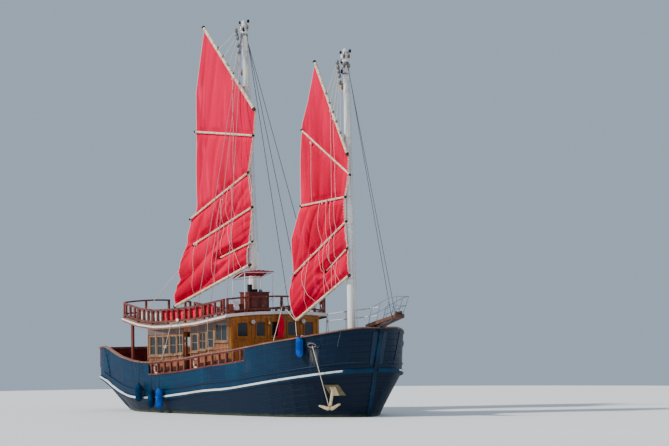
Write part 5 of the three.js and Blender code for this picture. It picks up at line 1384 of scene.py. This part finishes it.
def make_weather_cloth(name, x0, x1, side, look):
    columns = int((x1 - x0) / 0.05)

    def place(k, t):
        x = x0 + (x1 - x0) * k / columns
        y = side * (row_value(ROOF_EDGE, x, 2) - 0.125)
        sway = 0.014 * math.sin(x * 9.5 + 1.5 * t) * (0.3 + 0.7 * t)
        sway += 0.008 * noise.noise(Vector((x * 3, t, 1.0)))
        return Vector((x, y - side * (0.012 + abs(sway)), top_of(ROOF, x, y) + 0.63 - 0.50 * t))

    hang_cloth(name, look, columns, 10, place, (0, -side, 0))


def make_stern_cloth():
    _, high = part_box("transom_frame")
    x, y0, y1, top, drop = high.x + 0.004, -1.00, 1.38, high.z - 0.10, 0.72
    width = y1 - y0
    columns = int(width / 0.05)

    def place(k, t):
        s = k / columns
        sway = 0.016 * math.sin(s * width * 9.0 + 2.0 * t) * (0.25 + 0.75 * t)
        return Vector((x + 0.012 + abs(sway), y0 + width * s, top - drop * t))

    hang_cloth("stern_weather_cloth", "bench_cloth", columns, 12, place, AHEAD_WAY)


make_weather_cloth("red_weather_cloth", -2.75, 1.35, STARBOARD, "red_cloth")
make_weather_cloth("white_weather_cloth", -5.40, -3.05, STARBOARD, "white_cloth")
make_stern_cloth()


def free_rope(name, path, radius, look, knots=()):
    """A rope along a path, with knots on it."""
    rope = Build().tube(path, radius, 8).make(name, SHIP, look)
    lumps = []
    if knots:
        tied = Build()
        profile = [(0, radius), (0.015, radius * 1.9), (0.05, radius * 2.1), (0.07, radius)]
        for at in knots:
            tied.lathe(Vector(path[at]) + Vector((0, 0, 0.035)), DOWNWARD, profile, 12)
        lumps = [tied.make(f"{name}_knots", SHIP, look)]
    length = sum((Vector(b) - Vector(a)).length for a, b in zip(path, path[1:]))
    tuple(path[0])


# Ropes from the upper deck's edge to the cap rail. Columns: x of the top and of the foot, radius.
SIDE_ROPES = [(-1.80, -2.62, 0.011), (-1.05, -1.10, 0.007), (1.20, 1.12, 0.007)]


def make_side_ropes():
    lashings = Build()
    for k, (x, foot, radius) in enumerate(SIDE_ROPES, 1):
        y, z = roof_edge(x, STARBOARD)
        rail_y = CAP_RAIL.find_nearest(Vector((foot, -2.9, sheer(foot))))[0].y + 0.05
        high, low = (x, y - 0.05, z + 0.10), (foot, rail_y, sheer(foot) + 0.03)
        path = [tuple(p) for p in sagging(high, low, 0.05, 16)]
        free_rope(f"side_rope_{k}", path, radius, "rope")
        over_edge = [(x, y + 0.10, z + 0.142), (x, y - 0.045, z + 0.142), (x, y - 0.05, z + 0.05)]
        lashings.tube(over_edge, 0.014, 5)
        round_rail = ellipse((foot, rail_y, sheer(foot) + 0.02), (0.05, 0, 0), (0, 0.05, 0), 16)
        lashings.tube(round_rail, 0.012, 5, 0, True)
        if k == 1:
            # a hank made up on the rope
            for turn in range(5):
                centre = Vector(path[9]) + Vector((0, 0.012 * turn - 0.03, 0))
                lashings.tube(ellipse(centre, (0.075, 0, 0), (0, 0, 0.055), 14), 0.012, 5, 0, True)
    lashings.make("side_rope_lashings", SHIP, "rope")


def make_stern_rope():
    x, step, lean, count = -8.00, 0.055, 0.014, 25
    edge = rail_edge(x, sheer(x) - 0.06)
    path = [(x, edge.y + 0.02, edge.z + 0.040), (x, edge.y - 0.016, edge.z)]
    for j in range(1, count + 1):
        at, z = x + lean * j, edge.z - step * j
        point, _ = side_hit(at, min(z, sheer(at) - 0.12), STARBOARD)
        path.append((at, min(point.y - 0.020, edge.y - 0.016 + 0.010 * j), z))
    free_rope("stern_rope", path, 0.013, "dark_rope", (7, 12, 17, 22, 26))


def make_side_lamp():
    lamp = Build()
    x = -1.15
    y, z = roof_edge(x, STARBOARD)
    profile = [(0, 0.03), (0.02, 0.065), (0.08, 0.075), (0.10, 0.065), (0.11, 0.02)]
    lamp.lathe((x, y - 0.03, z + 0.28), (0.3, -1, 0), profile, 18, 0)
    lamp.box((x - 0.03, y - 0.035, z + 0.10), (x + 0.03, y + 0.02, z + 0.32), 1)
    lamp.make("side_lamp", SHIP, "white", "galvanised")


# Fittings on the front of the deckhouse: lamps, bell and a blank plaque
def make_front_fittings():
    lamps = Build()
    profile = [(0, 0.05), (0.03, 0.06), (0.05, 0.095), (0.12, 0.11), (0.14, 0.105), (0.15, 0.02)]
    for y, z in ((-1.34, 4.18), (1.51, 4.18)):
        lamps.lathe((FRONT_X + 0.04, y, z), AHEAD_WAY, profile, 20, 0)
        lamps.tube(ellipse((FRONT_X + 0.13, y, z), (0, 0.11, 0), (0, 0, 0.11), 20), 0.012, 6, 1, True)
    lamps.make("front_lamps", SHIP, "lamp", "galvanised")
    bell = Build()
    x, y, z = FRONT_X + 0.14, -0.44, 4.24
    bell.tube([(FRONT_X + 0.03, y, z + 0.05), (FRONT_X + 0.10, y, z + 0.06), (x, y, z + 0.02)], 0.012, 6, 0)
    profile = [(0.0, 0.02), (0.02, 0.045), (0.08, 0.06), (0.14, 0.075), (0.17, 0.10), (0.175, 0.09),
               (0.14, 0.05), (0.10, 0.02)]
    bell.lathe((x, y, z), DOWNWARD, profile, 20, 0)
    bell.lathe((x, y, z - 0.10), DOWNWARD, [(0, 0.01), (0.08, 0.012), (0.10, 0.025), (0.12, 0.012)], 10, 1)
    bell.make("bell", SHIP, "brass", "black")
    plaque = Build()
    plaque.box((FRONT_X + PROUD, -1.86, 2.62), (FRONT_X + 0.012, -1.36, 3.02), 0)
    plaque.box((FRONT_X + 0.012, -1.83, 2.65), (FRONT_X + 0.018, -1.39, 2.99), 1)
    plaque.make("blank_plaque", SHIP, "frame_gold", "mahogany")


# Lamps on the upper deck's front rail
def make_rail_lamps():
    units = Build()
    glass = [(0, 0.07), (0.02, 0.095), (0.06, 0.10), (0.07, 0.02)]
    for x, y, z in ((2.40, -2.30, 4.92), (2.40, 2.10, 4.98)):
        units.box((x + 0.08, y - 0.10, z - 0.20), (x + 0.20, y + 0.10, z + 0.22), 0)
        units.lathe((x + 0.20, y, z - 0.10), AHEAD_WAY, glass, 18, 1)
        units.box((x + 0.03, y - 0.03, z - 0.16), (x + 0.085, y + 0.03, z + 0.14), 2)
    units.make("rail_lamps", SHIP, "lamp", "white", "galvanised")


# Console: panels, instrument boxes, a compass and levers
def make_console_gear():
    gear = Build()
    x0, x1, y0, y1, top = 1.55, 2.25, -1.36, -0.24, 5.55
    for a, b in ((y0 + 0.07, -0.86), (-0.74, y1 - 0.07)):
        gear.box((x1 + PROUD, a, 4.80), (x1 + 0.018, b, 5.40), 0)
        gear.box((x1 + 0.018, a + 0.06, 4.86), (x1 + 0.026, b - 0.06, 5.34), 1)
    gear.box((x1 - 0.36, y0 + 0.16, top + PROUD), (x1 - 0.20, y0 + 0.32, top + 0.34), 2)
    gear.box((x0 + 0.12, -0.95, top + PROUD), (x0 + 0.34, -0.62, top + 0.12), 2)
    compass = [(PROUD, 0.09), (0.06, 0.09), (0.10, 0.07), (0.12, 0.02)]
    gear.lathe((x0 + 0.30, -0.42, top), UPWARD, compass, 18, 3)
    for y in (-1.20, -0.45):
        gear.tube([(x0 - 0.02, y, 5.30), (x0 - 0.10, y, 5.42)], 0.012, 6, 3)
    gear.make("console_gear", SHIP, "cabinet", "mahogany", "black", "steel")


# Fore deck: bollards, windlass and hatch
def make_deck_gear():
    gear = Build()
    bollard = [(0, 0.075), (0.02, 0.07), (0.26, 0.065), (0.29, 0.09), (0.33, 0.085), (0.34, 0.02)]
    for x, y in ((4.9, -1.9), (4.9, 1.9), (8.55, -0.55), (8.55, 0.55)):
        z = top_of(DECK, x, y)
        for dx in (-0.12, 0.12):
            gear.lathe((x + dx, y, z + PROUD), UPWARD, bollard, 16, 0)
        gear.box((x - 0.26, y - 0.10, z + PROUD), (x + 0.26, y + 0.10, z + 0.03), 0)
    x = 8.75
    z = top_of(DECK, x, 0.0)
    for y in (-0.30, 0.30):
        gear.box((x - 0.18, y - 0.04, z + PROUD), (x + 0.18, y + 0.04, z + 0.46), 1)
    drum = [(0, 0.09), (0.04, 0.13), (0.09, 0.08), (0.19, 0.07), (0.21, 0.14), (0.30, 0.10), (0.62, 0.10),
            (0.71, 0.14), (0.73, 0.07), (0.83, 0.08), (0.88, 0.13), (0.92, 0.09)]
    gear.lathe((x, -0.46, z + 0.30), TO_PORT, drum, 20, 0)
    gear.make("deck_gear", SHIP, "galvanised", "iron")
    hatch = Build()
    x0, x1, half = 5.35, 6.45, 0.55
    lid = top_of(DECK, x1, 0.0) + 0.26
    hatch.box((x0, -half, top_of(DECK, x0, 0.0) - 0.05), (x1, half, lid), 0)
    hatch.box((x0 - 0.05, -half - 0.05, lid), (x1 + 0.05, half + 0.05, lid + 0.05), 1)
    for k in range(-2, 3):
        y = 0.22 * k
        hatch.box((x0, y - 0.02, lid + 0.05), (x1, y + 0.02, lid + 0.07), 1)
    hatch.make("fore_hatch", SHIP, "mahogany", "varnish")


# Struts from the bow to the underside of the bowsprit platform
def make_bow_struts():
    struts = Build()
    for x0, y0, x1, y1 in ((9.98, 0.22, 10.75, 0.24), (10.03, 0.12, 11.05, 0.18)):
        underside = 4.00 + (x1 - 9.70) * 0.39 / 1.63 - 0.075
        for side in (PORT, STARBOARD):
            struts.tube([(x0, side * y0, 3.93), (x1, side * y1, underside)], 0.026, 6)
    struts.make("bowsprit_struts", SHIP, "galvanised")


def make_shroud_feet():
    gear = Build()
    for side in SIDES.values():
        for x in (-0.05, 1.03, 2.35):
            y = side * 2.74
            z = top_of(ROOF, x, y)
            gear.box((x - 0.06, y - 0.04, z + PROUD), (x + 0.06, y + 0.04, z + 0.02))
            gear.tube([(x, y, z + 0.05), (x, y - side * 0.045, z + 0.42)], 0.034, 8)
    gear.make("shroud_screws", SHIP, "steel")


for make in (make_side_ropes, make_stern_rope, make_side_lamp, make_front_fittings, make_rail_lamps,
             make_console_gear, make_deck_gear, make_bow_struts, make_shroud_feet):
    make()


# Camera at the photograph's place, in the ship's own heeled frame
def make_camera():
    """Angles in degrees, focal length and image points in pixels of a 669 x 446 image."""
    azimuth, heel, roll = math.radians(52), math.radians(1.25), math.radians(0.38)
    focal, horizon, centre, image_width, sensor = 2856.8, 352.4, 223.0, 669, 36.0
    pitch = math.atan((horizon - centre) / focal)
    right = Vector((math.cos(azimuth), math.sin(azimuth), 0))
    ahead = Vector((-math.sin(azimuth) * math.cos(pitch), math.cos(azimuth) * math.cos(pitch),
                    math.sin(pitch)))
    up = right.cross(ahead)
    right, up = right * math.cos(roll) + up * math.sin(roll), up * math.cos(roll) - right * math.sin(roll)
    heeled = Matrix.Rotation(-heel, 3, "X")
    right, up, ahead, place = (heeled @ v for v in (right, up, ahead, Vector((106.584, -78.118, 2.801))))
    camera = bpy.data.objects.new("camera", bpy.data.cameras.new("camera"))
    camera.data.sensor_width = sensor
    camera.data.lens = focal * sensor / image_width
    camera.data.clip_end = 1000
    camera.matrix_world = Matrix((
        (right.x, up.x, -ahead.x, place.x), (right.y, up.y, -ahead.y, place.y),
        (right.z, up.z, -ahead.z, place.z), (0, 0, 0, 1)))
    bpy.context.scene.collection.objects.link(camera)
    bpy.context.scene.camera = camera
    return right, ahead


# Studio: a pale floor at the waterline, a pale world, a broad sun and a soft fill
def make_studio(right, ahead):
    radius = 46.0
    floor = Build().add(ellipse((0, 0, 0), (radius, 0, 0), (0, radius, 0), 96), [tuple(range(96))])
    look = Look("studio_floor", 0.8)
    look.finish(look.mix(look.noise(0.05, 2, 0.5), (0.70, 0.72, 0.74), (0.76, 0.78, 0.80)))
    floor.make("studio_floor", None, look.material)
    world = bpy.data.worlds.new("studio")
    bpy.context.scene.world = world
    world.use_nodes = True
    sky = world.node_tree.nodes["Background"]
    sky.inputs[0].default_value = (0.64, 0.80, 1.0, 1)
    sky.inputs[1].default_value = 0.56
    back, level = -ahead, Vector((right.x, right.y, 0)).normalized()
    # Columns: name, direction towards the light, strength, angle in degrees, colour
    for name, direction, strength, angle, colour in (
            ("sun", back * 0.30 - level * 0.99 + Vector((0, 0, 0.90)), 4.6, 3, (1.0, 0.955, 0.89)),
            ("fill", back * 0.80 + level * 0.30 + Vector((0, 0, 0.35)), 0.35, 40, (1.0, 0.98, 0.95)),
            ("rim", -back * 0.8 + level * 0.4 + Vector((0, 0, 0.9)), 0.3, 30, (1.0, 0.97, 0.92))):
        light = bpy.data.lights.new(name, "SUN")
        light.energy = strength
        light.angle = math.radians(angle)
        light.color = colour
        lamp = bpy.data.objects.new(name, light)
        lamp.rotation_mode = "QUATERNION"
        lamp.rotation_quaternion = direction.normalized().to_track_quat("Z", "Y")
        bpy.context.scene.collection.objects.link(lamp)


make_studio(*make_camera())
